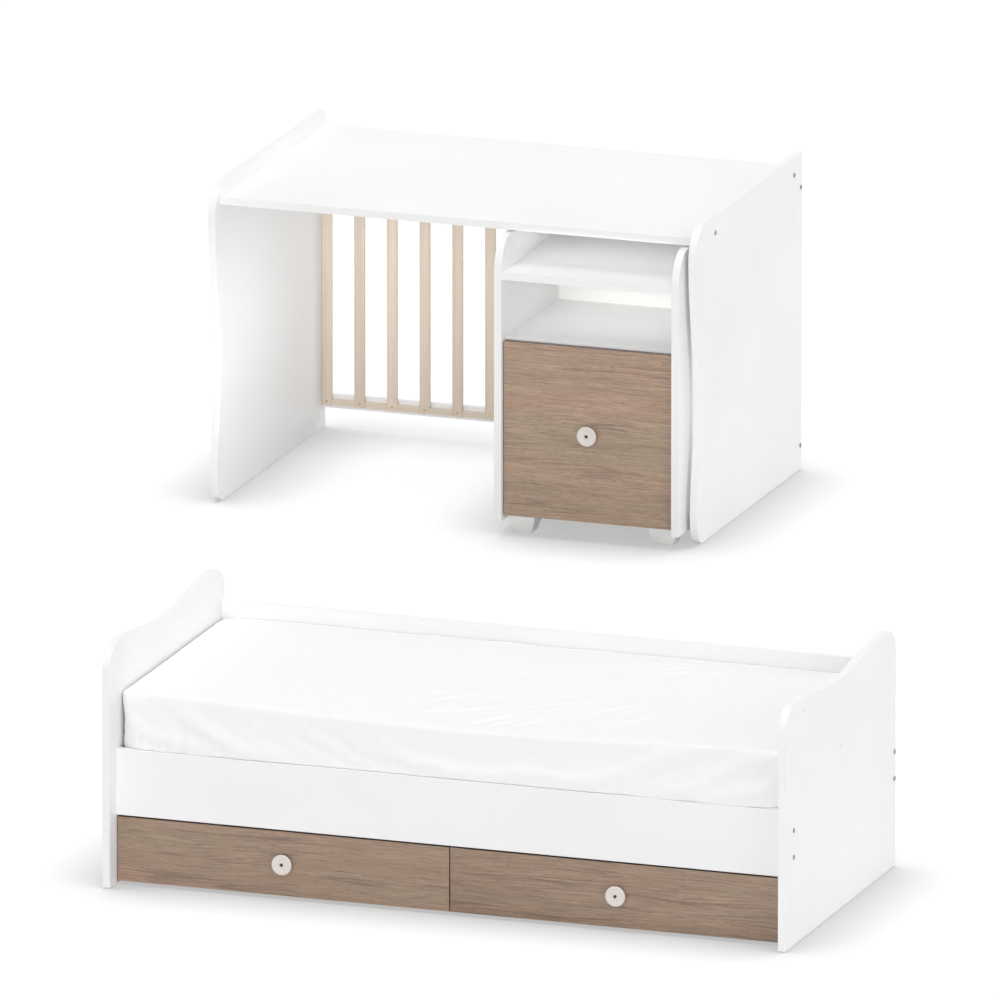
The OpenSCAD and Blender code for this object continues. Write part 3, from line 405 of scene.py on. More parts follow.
finishes = {
    "white": melamineWhite("whiteMelamine", whiteBoard["face"]),
    # a darker white for the cabinet's inner back: painted shade
    "shadedInnerWhite": melamineWhite("paintedShadeWhiteMelamine", whiteBoard["inner"]),
    "whiteEdge": plainEdging("whiteEdging", edging["white"]),
    "oak": oakLaminate("oakPrintMelamine"),
    "oakEdge": plainEdging("brownEdging", edging["brown"]),
    "beechX": lacqueredBeech("beechAlongX", 0),
    "beechY": lacqueredBeech("beechAlongY", 1),
    "beechZ": lacqueredBeech("beechUpright", 2),
    "lacquer": whiteLacquer("whiteLacquer"),
    "knob": mouldedPlastic("warmGreyAbs", "#E2DCD5", 0.42),
    "whitePlastic": mouldedPlastic("whiteNylon", "#F0F0EE", 0.5),
    "zinc": zincPlated("zincPlatedSteel", "#A3A4A6", 0.34),
    "darkZinc": zincPlated("blackZincSteel", "#58585A", 0.45),
    "yellowZinc": zincPlated("yellowZincSteel", "#C8B592", 0.5),
    "hardboard": facedHardboard("whiteFacedHardboard"),
    "sheet": jerseyCotton("cottonJersey"),
    "ticking": twillTicking("cottonTicking"),
}
print("materials ready:", len(finishes))


# Boards: a CAD board with its true edges rounded, and its narrow faces in edging

edges = {
    "weld": 0.02 * mm,   # loose CAD points closer than this are one
    "flat": 0.6,         # degrees below which two faces are one plane
    "sharp": 40,         # degrees from which an edge is rounded
    "white": 0.9 * mm, "oak": 0.8 * mm,   # rounding of the laminated boards
}


def merged(node):
    # A CAD node's loose triangles, joined
    shape = bmesh.new()
    shape.from_mesh(frame["nodes"][node].data)
    bmesh.ops.remove_doubles(shape, verts=shape.verts, dist=edges["weld"])
    return shape


def rounded(piece, width, segments):
    bevel = piece.modifiers.new("roundedEdges", "BEVEL")
    bevel.width, bevel.segments = width, segments
    bevel.limit_method, bevel.angle_limit = "ANGLE", radians(edges["sharp"])
    bevel.harden_normals = True
    return settled(piece)


def board(node, finish, slot, rounding, edgeFinish=None, across=None, shift=0.0):
    mesh = frame["nodes"][node].data.copy()
    shape = merged(node)
    bmesh.ops.dissolve_limit(shape, angle_limit=radians(edges["flat"]), verts=shape.verts,
                             edges=shape.edges)
    mesh.materials.clear()
    mesh.materials.append(finishes[finish])
    if edgeFinish:
        mesh.materials.append(finishes[edgeFinish])
    for face in shape.faces:
        face.material_index = int(edgeFinish is not None and abs(face.normal[across]) < 0.5)
    shape.to_mesh(mesh)
    shape.free()
    piece = rounded(newPiece(node + ("_part" if slot == "steel" else "_board"), mesh), rounding, 2)
    mesh = piece.data
    mesh.attributes.new("boardShift", "FLOAT", "POINT").data.foreach_set(
        "value", [shift] * len(mesh.vertices))
    return placed(piece, bodyOf[node], slot, node)


whiteBoards = {   # node: axis of the board's thickness
    "bed_left_end_board": 0, "bed_right_end_board": 0, "bed_front_rail": 1, "bed_back_rail": 1,
    "bed_back_guard": 1, "bed_centre_support": 0, "desk_left_panel": 0, "desk_right_panel": 0,
    "desk_top": 2, "desk_top_rail": 1, "desk_bottom_rail": 1, "cabinet_left_side": 0,
    "cabinet_right_side": 0, "cabinet_upper_shelf": 2, "cabinet_rear_deck": 2,
    "cabinet_compartment_floor": 2, "cabinet_bottom_board": 2, "cabinet_inner_back": 1,
    "left_drawer_sides": 0, "right_drawer_sides": 0, "cabinet_drawer_sides": 0,
    "left_drawer_back": 1, "right_drawer_back": 1, "cabinet_drawer_back": 1,
}
oakBoards = {     # node: the place its grain is taken from
    # the cabinet front's place also draws it lighter, as painted light
    "left_drawer_front": 3.1, "right_drawer_front": 8.4, "cabinet_drawer_front": 13.7,
}
plainParts = (    # nodes, finish, material slot, rounding, and the place the grain is taken from
    (("left_drawer_bottom", "right_drawer_bottom", "cabinet_drawer_bottom", "cabinet_back_panel"),
     "hardboard", "hardboard", 0.3 * mm, 0.0),
    (("bed_slat_ledges",), "beechX", "beech", 1.2 * mm, 4.4),
    (("desk_slat_fillets",), "beechX", "beech", 0.6 * mm, 9.2),
    (("bed_drawer_rails",), "beechY", "beech", 0.8 * mm, 6.0),
    (("cabinet_drawer_rails",), "beechY", "beech", 0.8 * mm, 7.0),
    (("bed_guard_dowels",), "beechX", "beech", 0.6 * mm, 2.2),
    (("left_drawer_runners", "right_drawer_runners", "cabinet_drawer_runners"),
     "zinc", "steel", 0.3 * mm, 0.0),
    (("bed_floor_glides", "desk_floor_glides", "bed_hole_caps"),
     "whitePlastic", "white_plastic", 0.35 * mm, 0.0),
    (("cabinet_feet",), "lacquer", "white_lacquer", 4.5 * mm, 0.0),
)
for node, axis in whiteBoards.items():
    # the cabinet's inner back takes the darker white, with painted shade
    finish = "shadedInnerWhite" if node == "cabinet_inner_back" else "white"
    board(node, finish, "white_laminate", edges["white"], "whiteEdge", axis)
for node, shift in oakBoards.items():
    board(node, "oak", "oak_laminate", edges["oak"], "oakEdge", 1, shift)
for nodes, finish, slot, rounding, shift in plainParts:
    for node in nodes:
        board(node, finish, slot, rounding, shift=shift)
print("boards ready")


# Slats: one tree lays a row of planed slats along a step

slatTones = 40.0   # spread of the places that the slats' grain is taken from
slatRows = {       # node: piece, width and number of slats, rounding, seed of the tones, finish
    "desk_slats": ("deskSlats", 26 * mm, 15, 2.2 * mm, 11, "beechZ"),
    "bed_slats": ("bedSlats", 70 * mm, 13, 3 * mm, 5, "beechY"),
}


def addSockets(tree, inputs):
    for name, kind in inputs:
        tree.interface.new_socket(name=name, in_out="INPUT", socket_type="NodeSocket" + kind)
    tree.interface.new_socket(name="Geometry", in_out="OUTPUT", socket_type="NodeSocketGeometry")
    return addNode(tree, "NodeGroupInput").outputs


def madeReal(tree, instances, finish):
    # A tree ends in real geometry with its material
    real = addNode(tree, "GeometryNodeRealizeInstances", {"Geometry": instances})
    done = addNode(tree, "GeometryNodeSetMaterial", {"Geometry": real, "Material": finish})
    addNode(tree, "NodeGroupOutput", {"Geometry": done})
    return tree


def slatTree():
    tree = bpy.data.node_groups.new("slatRow", "GeometryNodeTree")
    given = addSockets(tree, (("Size", "Vector"), ("Start", "Vector"), ("Step", "Vector"),
                              ("Count", "Int"), ("Seed", "Int"), ("Finish", "Material")))
    row = addNode(tree, "GeometryNodeMeshLine", {
        "Count": given["Count"], "Start Location": given["Start"], "Offset": given["Step"]},
        mode="OFFSET")
    slat = addNode(tree, "GeometryNodeMeshCube", {"Size": given["Size"]})
    laid = addNode(tree, "GeometryNodeInstanceOnPoints", {"Points": row, "Instance": slat})
    tone = addNode(tree, "FunctionNodeRandomValue", {"Seed": given["Seed"], 3: slatTones},
                   data_type="FLOAT")
    kept = addNode(tree, "GeometryNodeStoreNamedAttribute", {
        "Geometry": laid, "Name": "boardShift", "Value": tone.outputs[1]},
        data_type="FLOAT", domain="INSTANCE")
    return madeReal(tree, kept, given["Finish"])


def grownFrom(piece, tree, values):
    # Gives a piece the tree's geometry, with its inputs set by name
    modifier = piece.modifiers.new(tree.name, "NODES")
    modifier.node_group = tree
    for item in tree.interface.items_tree:
        if item.in_out == "INPUT" and item.name in values:
            modifier[item.identifier] = values[item.name]


rowOfSlats = slatTree()


def slatRow(node, name, width, count, rounding, seed, finish):
    # The first slat's middle, its size and the step to the next come from the CAD row's box
    low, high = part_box(node)
    size = high - low
    size[0] = width
    start = (low + high) / 2
    start[0] = low[0] + width / 2
    step = Vector(((high[0] - low[0] - width) / (count - 1), 0, 0))
    piece = newPiece(name, bpy.data.meshes.new(name))
    grownFrom(piece, rowOfSlats, {"Size": size, "Start": start, "Step": step, "Count": count,
                                  "Seed": seed, "Finish": finishes[finish]})
    rounded(piece, rounding, 3)
    smoothUnder(piece.data, 40)
    return placed(piece, bodyOf[node], "beech", node)


for node, settings in slatRows.items():
    slatRow(node, *settings)
print("slats ready")


# Fasteners: each CAD screw's place and direction, with a turned blank set there

fastener = {
    "boltHead": 5 * mm,                        # a larger head radius belongs to a furniture bolt
    "bolt": (1.5 * mm, 2.9 * mm, 2.4 * mm),    # head height, shank radius and key radius
    "screw": (2 * mm, 1.9 * mm, 1.5 * mm),
    "proud": 0.2 * mm,                         # how far a screw's head stands out
    "inHead": 0.1 * mm, "inLength": 0.2 * mm,  # how much smaller than its CAD solid it is
    "edge": 0.25 * mm, "tip": 2 * mm, "keyDepth": 0.8 * mm, "keyCentre": 0.3 * mm,
    "steps": 18,
}


def turned(profile, steps, hexFrom=()):
    # A closed turned shape round +Z from (radius, height) pairs; the rings in hexFrom are six-sided
    shape = bmesh.new()
    rings = []
    for k, (radius, height) in enumerate(profile):
        ring = []
        for i in range(steps):
            angle = 2 * pi * i / steps
            reach = radius
            if k in hexFrom:
                part = (angle % (pi / 3)) - pi / 6
                reach = radius * cos(pi / 6) / cos(part)
            ring.append(shape.verts.new((reach * cos(angle), reach * sin(angle), height)))
        rings.append(ring)
    for lower, upper in zip(rings, rings[1:]):
        for i in range(steps):
            k = (i + 1) % steps
            shape.faces.new((lower[i], lower[k], upper[k], upper[i]))
    shape.faces.new(list(reversed(rings[0])))
    shape.faces.new(rings[-1])
    return shape


def meshOf(name, shape, smooth):
    mesh = bpy.data.meshes.new(name)
    bmesh.ops.recalc_face_normals(shape, faces=shape.faces)
    shape.to_mesh(mesh)
    shape.free()
    smoothUnder(mesh, smooth)
    return mesh


def fastenerBlank(name, headRadius, length):
    # Head's outer face at height 0 plus proud, shank running down to -length
    s = fastener
    isBolt = headRadius > s["boltHead"]
    headHeight, shank, key = s["bolt"] if isBolt else s["screw"]
    top = 0 if isBolt else s["proud"]
    head, edge, length = headRadius - s["inHead"], s["edge"], length - s["inLength"]
    profile = [(shank * 0.4, -length), (shank, -length + s["tip"]), (shank, top - headHeight),
               (head, top - headHeight + edge), (head, top - edge), (head - edge, top), (key, top),
               (key * 0.96, top - s["keyDepth"]), (s["keyCentre"], top - s["keyDepth"])]
    return newPiece(name, meshOf(name, turned(profile, s["steps"], (6, 7)), 40))


def solidsOf(node):
    # Each separate solid of a CAD node, as its points
    shape = merged(node)
    seen, solids = set(), []
    for first in shape.verts:
        if first in seen:
            continue
        group, ahead = [], [first]
        seen.add(first)
        while ahead:
            point = ahead.pop()
            group.append(point.co.copy())
            for edge in point.link_edges:
                other = edge.other_vert(point)
                if other not in seen:
                    seen.add(other)
                    ahead.append(other)
        solids.append(group)
    shape.free()
    return solids


def screwPlaces(node):
    # (place of the head's face, direction out of it, length, head radius) of each turned solid
    places = []
    for points in solidsOf(node):
        low = Vector([min(p[i] for p in points) for i in range(3)])
        high = Vector([max(p[i] for p in points) for i in range(3)])
        size = high - low
        axis = max(range(3), key=lambda i: size[i])
        middle = (low + high) / 2

        def width(level):
            beside, above = (axis + 1) % 3, (axis + 2) % 3
            return max(((p - middle)[beside] ** 2 + (p - middle)[above] ** 2) ** 0.5
                       for p in points if abs(p[axis] - level) < 0.1 * mm)

        headAtHigh = width(high[axis]) > width(low[axis])
        face = high[axis] if headAtHigh else low[axis]
        place, away = middle.copy(), Vector((0, 0, 0))
        place[axis], away[axis] = face, 1 if headAtHigh else -1
        places.append((place, away, size[axis], width(face)))
    return places


def fastenerTree():
    tree = bpy.data.node_groups.new("fastenerPlaces", "GeometryNodeTree")
    given = addSockets(tree, (("Geometry", "Geometry"), ("Blank", "Object"),
                              ("Finish", "Material")))
    blank = addNode(tree, "GeometryNodeObjectInfo", {"Object": given["Blank"]})
    aim = addNode(tree, "GeometryNodeInputNamedAttribute", {"Name": "aim"},
                  data_type="FLOAT_VECTOR")
    turn = addNode(tree, "FunctionNodeAlignRotationToVector", {"Vector": aim}, axis="Z")
    laid = addNode(tree, "GeometryNodeInstanceOnPoints", {
        "Points": given["Geometry"], "Instance": blank.outputs["Geometry"], "Rotation": turn})
    return madeReal(tree, laid, given["Finish"])


setFasteners = fastenerTree()


def fasteners(name, node, finish, blank, places, replaced):
    mesh = bpy.data.meshes.new(name)
    mesh.from_pydata([place[0] for place in places], [], [])
    mesh.attributes.new("aim", "FLOAT_VECTOR", "POINT").data.foreach_set(
        "vector", [c for place in places for c in place[1]])
    piece = newPiece(name, mesh)
    grownFrom(piece, setFasteners, {"Blank": blank, "Finish": finishes[finish]})
    settled(piece)
    smoothUnder(piece.data, 40)
    bpy.data.objects.remove(blank)
    return placed(piece, bodyOf[node], "steel", *replaced)


def fastenersLike(node, finish):
    # One piece for each length of screw in the node; the first stands for the node
    lengths = {}
    for place in screwPlaces(node):
        lengths.setdefault(round(place[2] / mm), []).append(place)
    for i, (length, places) in enumerate(sorted(lengths.items())):
        blank = fastenerBlank("blank_" + node, places[0][3], length * mm)
        fasteners(f"{node}_{i + 1}", node, finish, blank, places, [node] if i == 0 else [])


for node, finish in (("bed_bolts", "zinc"), ("desk_bolts", "zinc"), ("bed_slat_screws", "zinc"),
                     ("desk_slat_screws", "yellowZinc"),
                     ("cabinet_screws", "lacquer")):   # their heads are painted like the boards
    fastenersLike(node, finish)
for node in ("left_drawer_fittings", "right_drawer_fittings", "cabinet_drawer_fittings"):
    board(node, "darkZinc", "steel", 0.2 * mm)
print("fasteners ready")


# Knobs: a thin dished disc on a neck, with its screw in the middle

knob = {
    "radius": 24 * mm, "thickness": 6 * mm, "neckRadius": 9 * mm, "neck": 8 * mm, "flare": 1.6 * mm,
    "dish": 1.3 * mm, "ringRadius": 7.5 * mm, "groove": 0.35 * mm,   # a fine ring round the screw
    "hole": 4.2 * mm, "screw": 2.2 * mm, "screwDepth": 3 * mm,
    "steps": 72, "rimSteps": 9, "dishSteps": 6,
}


def knobPiece(node):
    s = knob
    low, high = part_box(node)
    middle = (low + high) / 2
    back = high[1]          # the neck stands on the drawer front's face
    neck, radius, ring, hole = s["neckRadius"], s["radius"], s["ringRadius"], s["hole"]
    top = s["neck"] + s["thickness"]
    rim = s["thickness"] / 2
    floor = top - s["dish"]
    profile = [(s["screw"], 0), (neck, 0), (neck, s["neck"] * 0.55),
               (neck + s["flare"], s["neck"] - 0.3 * mm), (radius - rim, s["neck"])]
    for i in range(1, s["rimSteps"]):    # rounded rim
        angle = -pi / 2 + pi * i / s["rimSteps"]
        profile.append((radius - rim + rim * cos(angle), s["neck"] + rim + rim * sin(angle)))
    profile.append((radius - rim, top))
    for i in range(1, s["dishSteps"]):   # shallow dish towards the ring
        t = i / s["dishSteps"]
        inner = radius - rim - t * (radius - rim - ring - 0.6 * mm)
        profile.append((inner, top - s["dish"] * sin(t * pi / 2)))
    profile += [(ring + 0.3 * mm, floor), (ring, floor - s["groove"]),
                (ring - 0.5 * mm, floor - s["groove"]), (ring - 0.8 * mm, floor),
                (hole + 0.4 * mm, floor), (hole, floor - 0.4 * mm), (hole, top - s["screwDepth"]),
                (s["screw"], top - s["screwDepth"])]
    shape = turned(profile, s["steps"])
    for point in shape.verts:   # +Z of the turned shape looks along -Y
        x, y, z = point.co
        point.co = Vector((middle[0] + x, back - z, middle[2] + y))
    mesh = meshOf(node, shape, 35)
    mesh.materials.append(finishes["knob"])
    return placed(newPiece(node + "_turned", mesh), bodyOf[node], "knob_plastic", node)


for node in ("left_drawer_knob", "right_drawer_knob", "cabinet_drawer_knob"):
    knobPiece(node)
print("knobs ready")


# Mattress and fitted sheet: a crowned block with rolled edges, seen from its own middle

mattress = {
    "length": 1592 * mm, "width": 684 * mm, "height": 142 * mm,
    "crown": 8 * mm, "sag": 18 * mm,          # rise of the top's middle, fall of its front edge
    "corner": 26 * mm,                        # radius of the upright corners
    "topRoll": 8 * mm, "roll": 10.6 * mm,     # radius of the top and bottom edges
    "endFall": 5 * mm, "endRun": 70 * mm,     # the top rolls down towards both ends
    "draw": 3 * mm,                           # how far the sides pull in between the corners
    "tight": 4.6 * mm, "tightRun": 14 * mm,   # near the top the ends stand close to the boards
    "swellFrom": 25 * mm, "swellEnd": 45 * mm,   # the front swells over the rail, less at its ends
    "rollSteps": 4,
}
lowMattress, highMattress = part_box("mattress")
middleMattress = (lowMattress + highMattress) / 2
mattressPlace = Vector((middleMattress[0], middleMattress[1], lowMattress[2]))


def topDrop(x, y):
    # How far the top lies under its full height: sagging front edge, and ends that roll down
    s = mattress
    u = x / (s["length"] / 2)
    sag = s["sag"] * cos(pi / 2 * u / 1.1) ** 2 * (0.5 - y / s["width"])
    near = max(0.0, abs(x) - (s["length"] / 2 - s["endRun"])) / s["endRun"]
    return sag + s["endFall"] * near * near


def blockShape(columns, rows, sideSteps, grow, endGrow=0.0, overRail=0.0, hem=None):
    s = mattress
    shape = bmesh.new()
    halfL, halfW = s["length"] / 2 - s["topRoll"], s["width"] / 2 - s["topRoll"]
    radius = s["corner"] - s["topRoll"]
    swellAbove = s["roll"] + (0.1 if hem else 6) * mm   # the block's swell starts a little higher

    def flatPlace(i, j):
        u, v = 2 * i / columns - 1, 2 * j / rows - 1
        x, y = u * halfL, v * halfW
        a, b = abs(x) - (halfL - radius), abs(y) - (halfW - radius)
        if a > 0 and b > 0:
            ra, rb = a / radius, b / radius
            x = copysign(halfL - radius + a * sqrt(1 - rb * rb / 2), x)
            y = copysign(halfW - radius + b * sqrt(1 - ra * ra / 2), y)
        return x, y

    def outward(x, y):
        a, b = abs(x) - (halfL - radius), abs(y) - (halfW - radius)
        if a > 0 and b > 0:
            return Vector((copysign(a, x), copysign(b, y), 0)).normalized()
        if a > b:
            return Vector((copysign(1, x), 0, 0))
        return Vector((0, copysign(1, y), 0))

    def drawn(x, y, share):
        # the sides pull in between the corners, most at half height
        pull = s["draw"] * share
        if abs(y) >= halfW - 0.1 * mm:
            y -= copysign(pull * cos(pi / 2 * min(1, abs(x) / halfL)), y)
        elif abs(x) >= halfL - 0.1 * mm:
            x -= copysign(pull * cos(pi / 2 * min(1, abs(y) / halfW)), x)
        return x, y

    def grown(point, normal):
        moved = Vector(point) + normal * grow
        moved[0] += endGrow * normal[0] * abs(normal[0])
        # near the top the ends stand close to the boards, with a tight edge
        inwards = max(0.0, s["length"] / 2 + grow + endGrow - abs(moved[0])) / s["tightRun"]
        high = smoothStep(0.5, 0.9, moved[2] / s["height"])
        tight = s["tight"] * inwards * exp(1 - inwards) * high
        moved[0] += copysign(tight, moved[0])
        if normal[1] < 0 and moved[2] > swellAbove:
            fallen = 1 - smoothStep(s["swellFrom"], s["height"], moved[2])
            fromEnd = 1 - smoothStep(halfL - s["swellEnd"], halfL, abs(moved[0]))
            wavy = 0.9 + 0.35 * noise.noise(Vector((moved[0] * 5, 0, 4.4)))
            moved[1] += overRail * normal[1] * fallen * fromEnd * wavy
        return moved

    grid = []
    for j in range(rows + 1):
        line = []
        for i in range(columns + 1):
            x, y = flatPlace(i, j)
            crown = s["crown"] * (1 - max(abs(x / halfL), abs(y / halfW)) ** 3)
            z = s["height"] + crown - topDrop(x, y)
            line.append(shape.verts.new(grown((x, y, z), Vector((0, 0, 1)))))
        grid.append(line)
    for j in range(rows):
        for i in range(columns):
            shape.faces.new((grid[j][i], grid[j][i + 1], grid[j + 1][i + 1], grid[j + 1][i]))
    rim = ([(i, 0) for i in range(columns)] + [(columns, j) for j in range(rows)]
           + [(i, rows) for i in range(columns, 0, -1)] + [(0, j) for j in range(rows, 0, -1)])
    above = [grid[j][i] for i, j in rim]
    edge = [(flatPlace(i, j), outward(*flatPlace(i, j))) for i, j in rim]
    # each ring from the rim down: shares of the roll outwards and upwards, and of the way down
    rings = []
    topShare = s["topRoll"] / s["roll"]
    for k in range(1, s["rollSteps"] + 1):   # over the top edge
        angle = pi / 2 * k / s["rollSteps"]
        rings.append((1 - topShare * (1 - sin(angle)), topShare * cos(angle), 0))
    for k in range(1, sideSteps + 1):        # down the side
        rings.append((1, 0, k / (sideSteps + 1)))
    rings += [(1, 0, 0.985), (1, 0, 0.998)]  # close above the rail's upper edge
    for k in range(s["rollSteps"] + 1):      # under the bottom edge
        angle = pi / 2 * k / s["rollSteps"]
        rings.append((cos(angle), -sin(angle), 1))
    if hem:
        rings += [(-hem / 2 / s["roll"], -1, 1), (-hem / s["roll"], -1, 1)]
    for out, up, down in rings:
        ring = []
        for (x, y), away in edge:
            topZ = s["height"] - topDrop(x, y) - s["topRoll"]
            z = topZ + (s["roll"] - topZ) * down + s["roll"] * up
            reach = s["topRoll"] + s["roll"] * (out - 1)
            share = sin(pi * down) if up == 0 else 0
            px, py = drawn(x + away[0] * reach, y + away[1] * reach, share)
            if down == 0:
                normal = (away * reach + Vector((0, 0, s["roll"] * up))).normalized()
            else:
                normal = (away * max(out, 0) + Vector((0, 0, up))).normalized()
            ring.append(shape.verts.new(grown((px, py, z), normal)))
        for i in range(len(ring)):
            k = (i + 1) % len(ring)
            shape.faces.new((above[k], above[i], ring[i], ring[k]))
        above = ring
    if not hem:
        shape.faces.new(list(reversed(above)))
    for point in shape.verts:
        point.co += mattressPlace
    return shape


def softPiece(name, shape, finish):
    mesh = meshOf(name, shape, 180)
    mesh.materials.append(finishes[finish])
    return newPiece(name, mesh)


slack = {
    "frames": 24, "quality": 7, "stiffness": 14.0, "bending": 0.05, "gravity": 0.3,
    "mass": 0.2, "damping": 2.0, "gap": 1.0 * mm, "blockGap": 0.5 * mm,
    "held": 3 * mm,                       # the hem is held up to this far above the bottom roll
    "onTop": -0.004, "onSides": -0.012,   # share by which the cloth is cut too large there
    "cap": 5 * mm,                        # how far a point may settle
}


def relaxed(cloth, block):
    # The loosely cut sheet settles on the mattress, held by its hem; the result is its plain mesh
    s = slack
    start = [v.co.copy() for v in cloth.data.vertices]
    hem = cloth.vertex_groups.new(name="hem")
    sides = cloth.vertex_groups.new(name="sides")
    for i, place in enumerate(start):
        height = place[2] - mattressPlace[2]
        if height < mattress["roll"] + s["held"]:
            hem.add([i], 1.0, "REPLACE")
        else:
            sides.add([i], 1 - smoothStep(0.25, 0.95, height / mattress["height"]), "REPLACE")
    modifier = cloth.modifiers.new("settling", "CLOTH")
    fabric = modifier.settings
    fabric.quality, fabric.mass, fabric.air_damping = s["quality"], s["mass"], s["damping"]
    fabric.tension_stiffness = fabric.compression_stiffness = s["stiffness"]
    fabric.shear_stiffness, fabric.bending_stiffness = s["stiffness"] / 4, s["bending"]
    fabric.vertex_group_mass, fabric.vertex_group_shrink = "hem", "sides"
    fabric.shrink_min, fabric.shrink_max = s["onTop"], s["onSides"]
    fabric.effector_weights.gravity = s["gravity"]
    modifier.collision_settings.distance_min = s["gap"]
    modifier.collision_settings.use_self_collision = False
    modifier.point_cache.frame_start, modifier.point_cache.frame_end = 1, s["frames"]
    block.modifiers.new("firm", "COLLISION")
    block.collision.thickness_outer = s["blockGap"]
    for step in range(1, s["frames"] + 1):
        scene.frame_set(step)
    found = cloth.evaluated_get(bpy.context.evaluated_depsgraph_get()).data
    for i, place in enumerate(start):
        move = found.vertices[i].co - place
        if move.length > s["cap"]:
            move *= s["cap"] / move.length
        start[i] = place + move
    cloth.modifiers.clear()
    block.modifiers.clear()
    cloth.vertex_groups.clear()
    scene.frame_set(1)
    cloth.data.vertices.foreach_set("co", [c for place in start for c in place])
    cloth.data.update()


creases = {
    "topDepth": 5.5 * mm, "topAcross": 27 * mm, "topAlong": 240 * mm, "topSlant": radians(38),
    "topBend": 24 * mm, "topGrain": 0.6 * mm,
    "topArea": (-0.45, 0.1, 0.45, 0.85),   # shares of half the length: begins, full, fades, gone
    "looseDepth": 2.6 * mm,                # slow waves of the back edge against the guard
    "foldDepth": 4.8 * mm, "foldAcross": 75 * mm, "foldFall": 0.42,   # from the right corner down
    "foldArea": (0.35, 0.75, 0.93, 0.97),
    "gatherDepth": 5.0 * mm, "gatherWidth": 20 * mm, "gatherArea": (-0.99, -0.95, -0.85, -0.6),
    "lineDepth": 0.9 * mm, "lineDown": 34 * mm, "lineWidth": 4 * mm,  # a fine line below the edge
    "lineArea": (-0.3, 0.0, 0.3, 0.6),
    "frontGrain": 0.8 * mm,
    "pocket": (20 * mm, 60 * mm, 3.2 * mm, 5 * mm),   # corner fold: start, drop, height, half width
    "deepest": -0.8 * mm,                  # the block under the sheet isn't pressed in
}


def ridged(x, y, seed):
    return 1 - abs(noise.noise(Vector((x, y, seed)))) * 2


def within(value, begins, full, fades, gone):
    return smoothStep(begins, full, value) * (1 - smoothStep(fades, gone, value))


def topCrease(x, y, u, v):
    # Slanting creases right of the middle, and slow waves along the back edge
    s = creases
    cosine, sine = cos(s["topSlant"]), sin(s["topSlant"])
    slant, across = cosine * x + sine * y, cosine * y - sine * x
    across += s["topBend"] * noise.noise(Vector((slant * 5, across * 4, 3.1)))
    where = within(u, *s["topArea"]) * (1 - smoothStep(0.75, 1.0, abs(v)))
    where *= 0.55 + 0.9 * noise.noise(Vector((x * 3.5, y * 5, 6.6)))
    sharp = ridged(slant / s["topAlong"], across / s["topAcross"], 7.7)
    move = s["topDepth"] * where * (sharp ** 3 - 0.25)
    move += s["topGrain"] * noise.noise(Vector((x * 9, y * 13, 1.4)))
    loose = s["looseDepth"] * noise.noise(Vector((x * 7, 0.3, 9.9)))
    return move + loose * smoothStep(0.86, 0.95, v)


def frontCrease(x, z, u):
    # Two soft folds on the right, gathers on the left, a fine line, and the corner's folded pocket
    s, c = creases, mattress
    under = c["height"] - z
    fold = cos(2 * pi * ((x - c["length"] / 2) * s["foldFall"] + under) / s["foldAcross"])
    move = s["foldDepth"] * within(u, *s["foldArea"]) * (0.5 + 0.5 * fold)
    low = 1 - smoothStep(0.25, 0.75, z / c["height"])
    gathers = ridged(x / s["gatherWidth"], z * 5, 2.2) - 0.4
    move += s["gatherDepth"] * within(u, *s["gatherArea"]) * low * gathers
    near = exp(-((under - s["lineDown"]) / s["lineWidth"]) ** 2)
    move -= s["lineDepth"] * near * within(u, *s["lineArea"])
    move += s["frontGrain"] * noise.noise(Vector((x * 8, z * 14, 5.5)))
    start, drop, height, half = s["pocket"]
    down = (under - c["topRoll"]) / drop
    if 0 < down < 1:
        line = c["length"] / 2 - start * (1 - down ** 1.6)
        pocket = exp(-((x - line) / half) ** 2) * sin(pi * down) ** 0.5
        move += height * pocket
    return move


def sheetCrease(place, normal):
    # Creases of a slightly loose fitted sheet
    x, y, z = place
    u, v = x / (mattress["length"] / 2), y / (mattress["width"] / 2)
    onTop = smoothStep(0.3, 0.8, normal[2])
    onFront = smoothStep(0.3, 0.8, -normal[1])
    move = onTop * topCrease(x, y, u, v) if onTop else 0.0
    if onFront:
        move += onFront * frontCrease(x, z, u)
    return normal * max(move, creases["deepest"])


def creased(cloth):
    fine = cloth.modifiers.new("fine", "SUBSURF")
    fine.levels = fine.render_levels = 1
    settled(cloth)
    mesh = cloth.data
    normals = [Vector(n.vector) for n in mesh.vertex_normals]
    places = []
    for point, normal in zip(mesh.vertices, normals):
        place = point.co - mattressPlace
        free = smoothStep(0.3, 1.2, place[2] / mattress["roll"])   # the hem stays flat underneath
        places.extend(point.co + sheetCrease(place, normal) * free)
    mesh.vertices.foreach_set("co", places)
    mesh.update()


# columns, rows and side steps of each, how far it stands off, more at the ends, over the rail, hem
foam = softPiece("mattress_block", blockShape(64, 30, 6, 0.0, overRail=12 * mm), "ticking")
sheet = softPiece("fitted_sheet_cloth",
                  blockShape(148, 64, 9, 1.6 * mm, 3.6 * mm, 16 * mm, 60 * mm), "sheet")
relaxed(sheet, foam)
print("sheet settled")
creased(sheet)
placed(foam, "frame", "mattress_ticking", "mattress")
placed(sheet, "frame", "cotton_sheet", "fitted_sheet")
print("mattress and sheet ready")


# Floor, light and camera

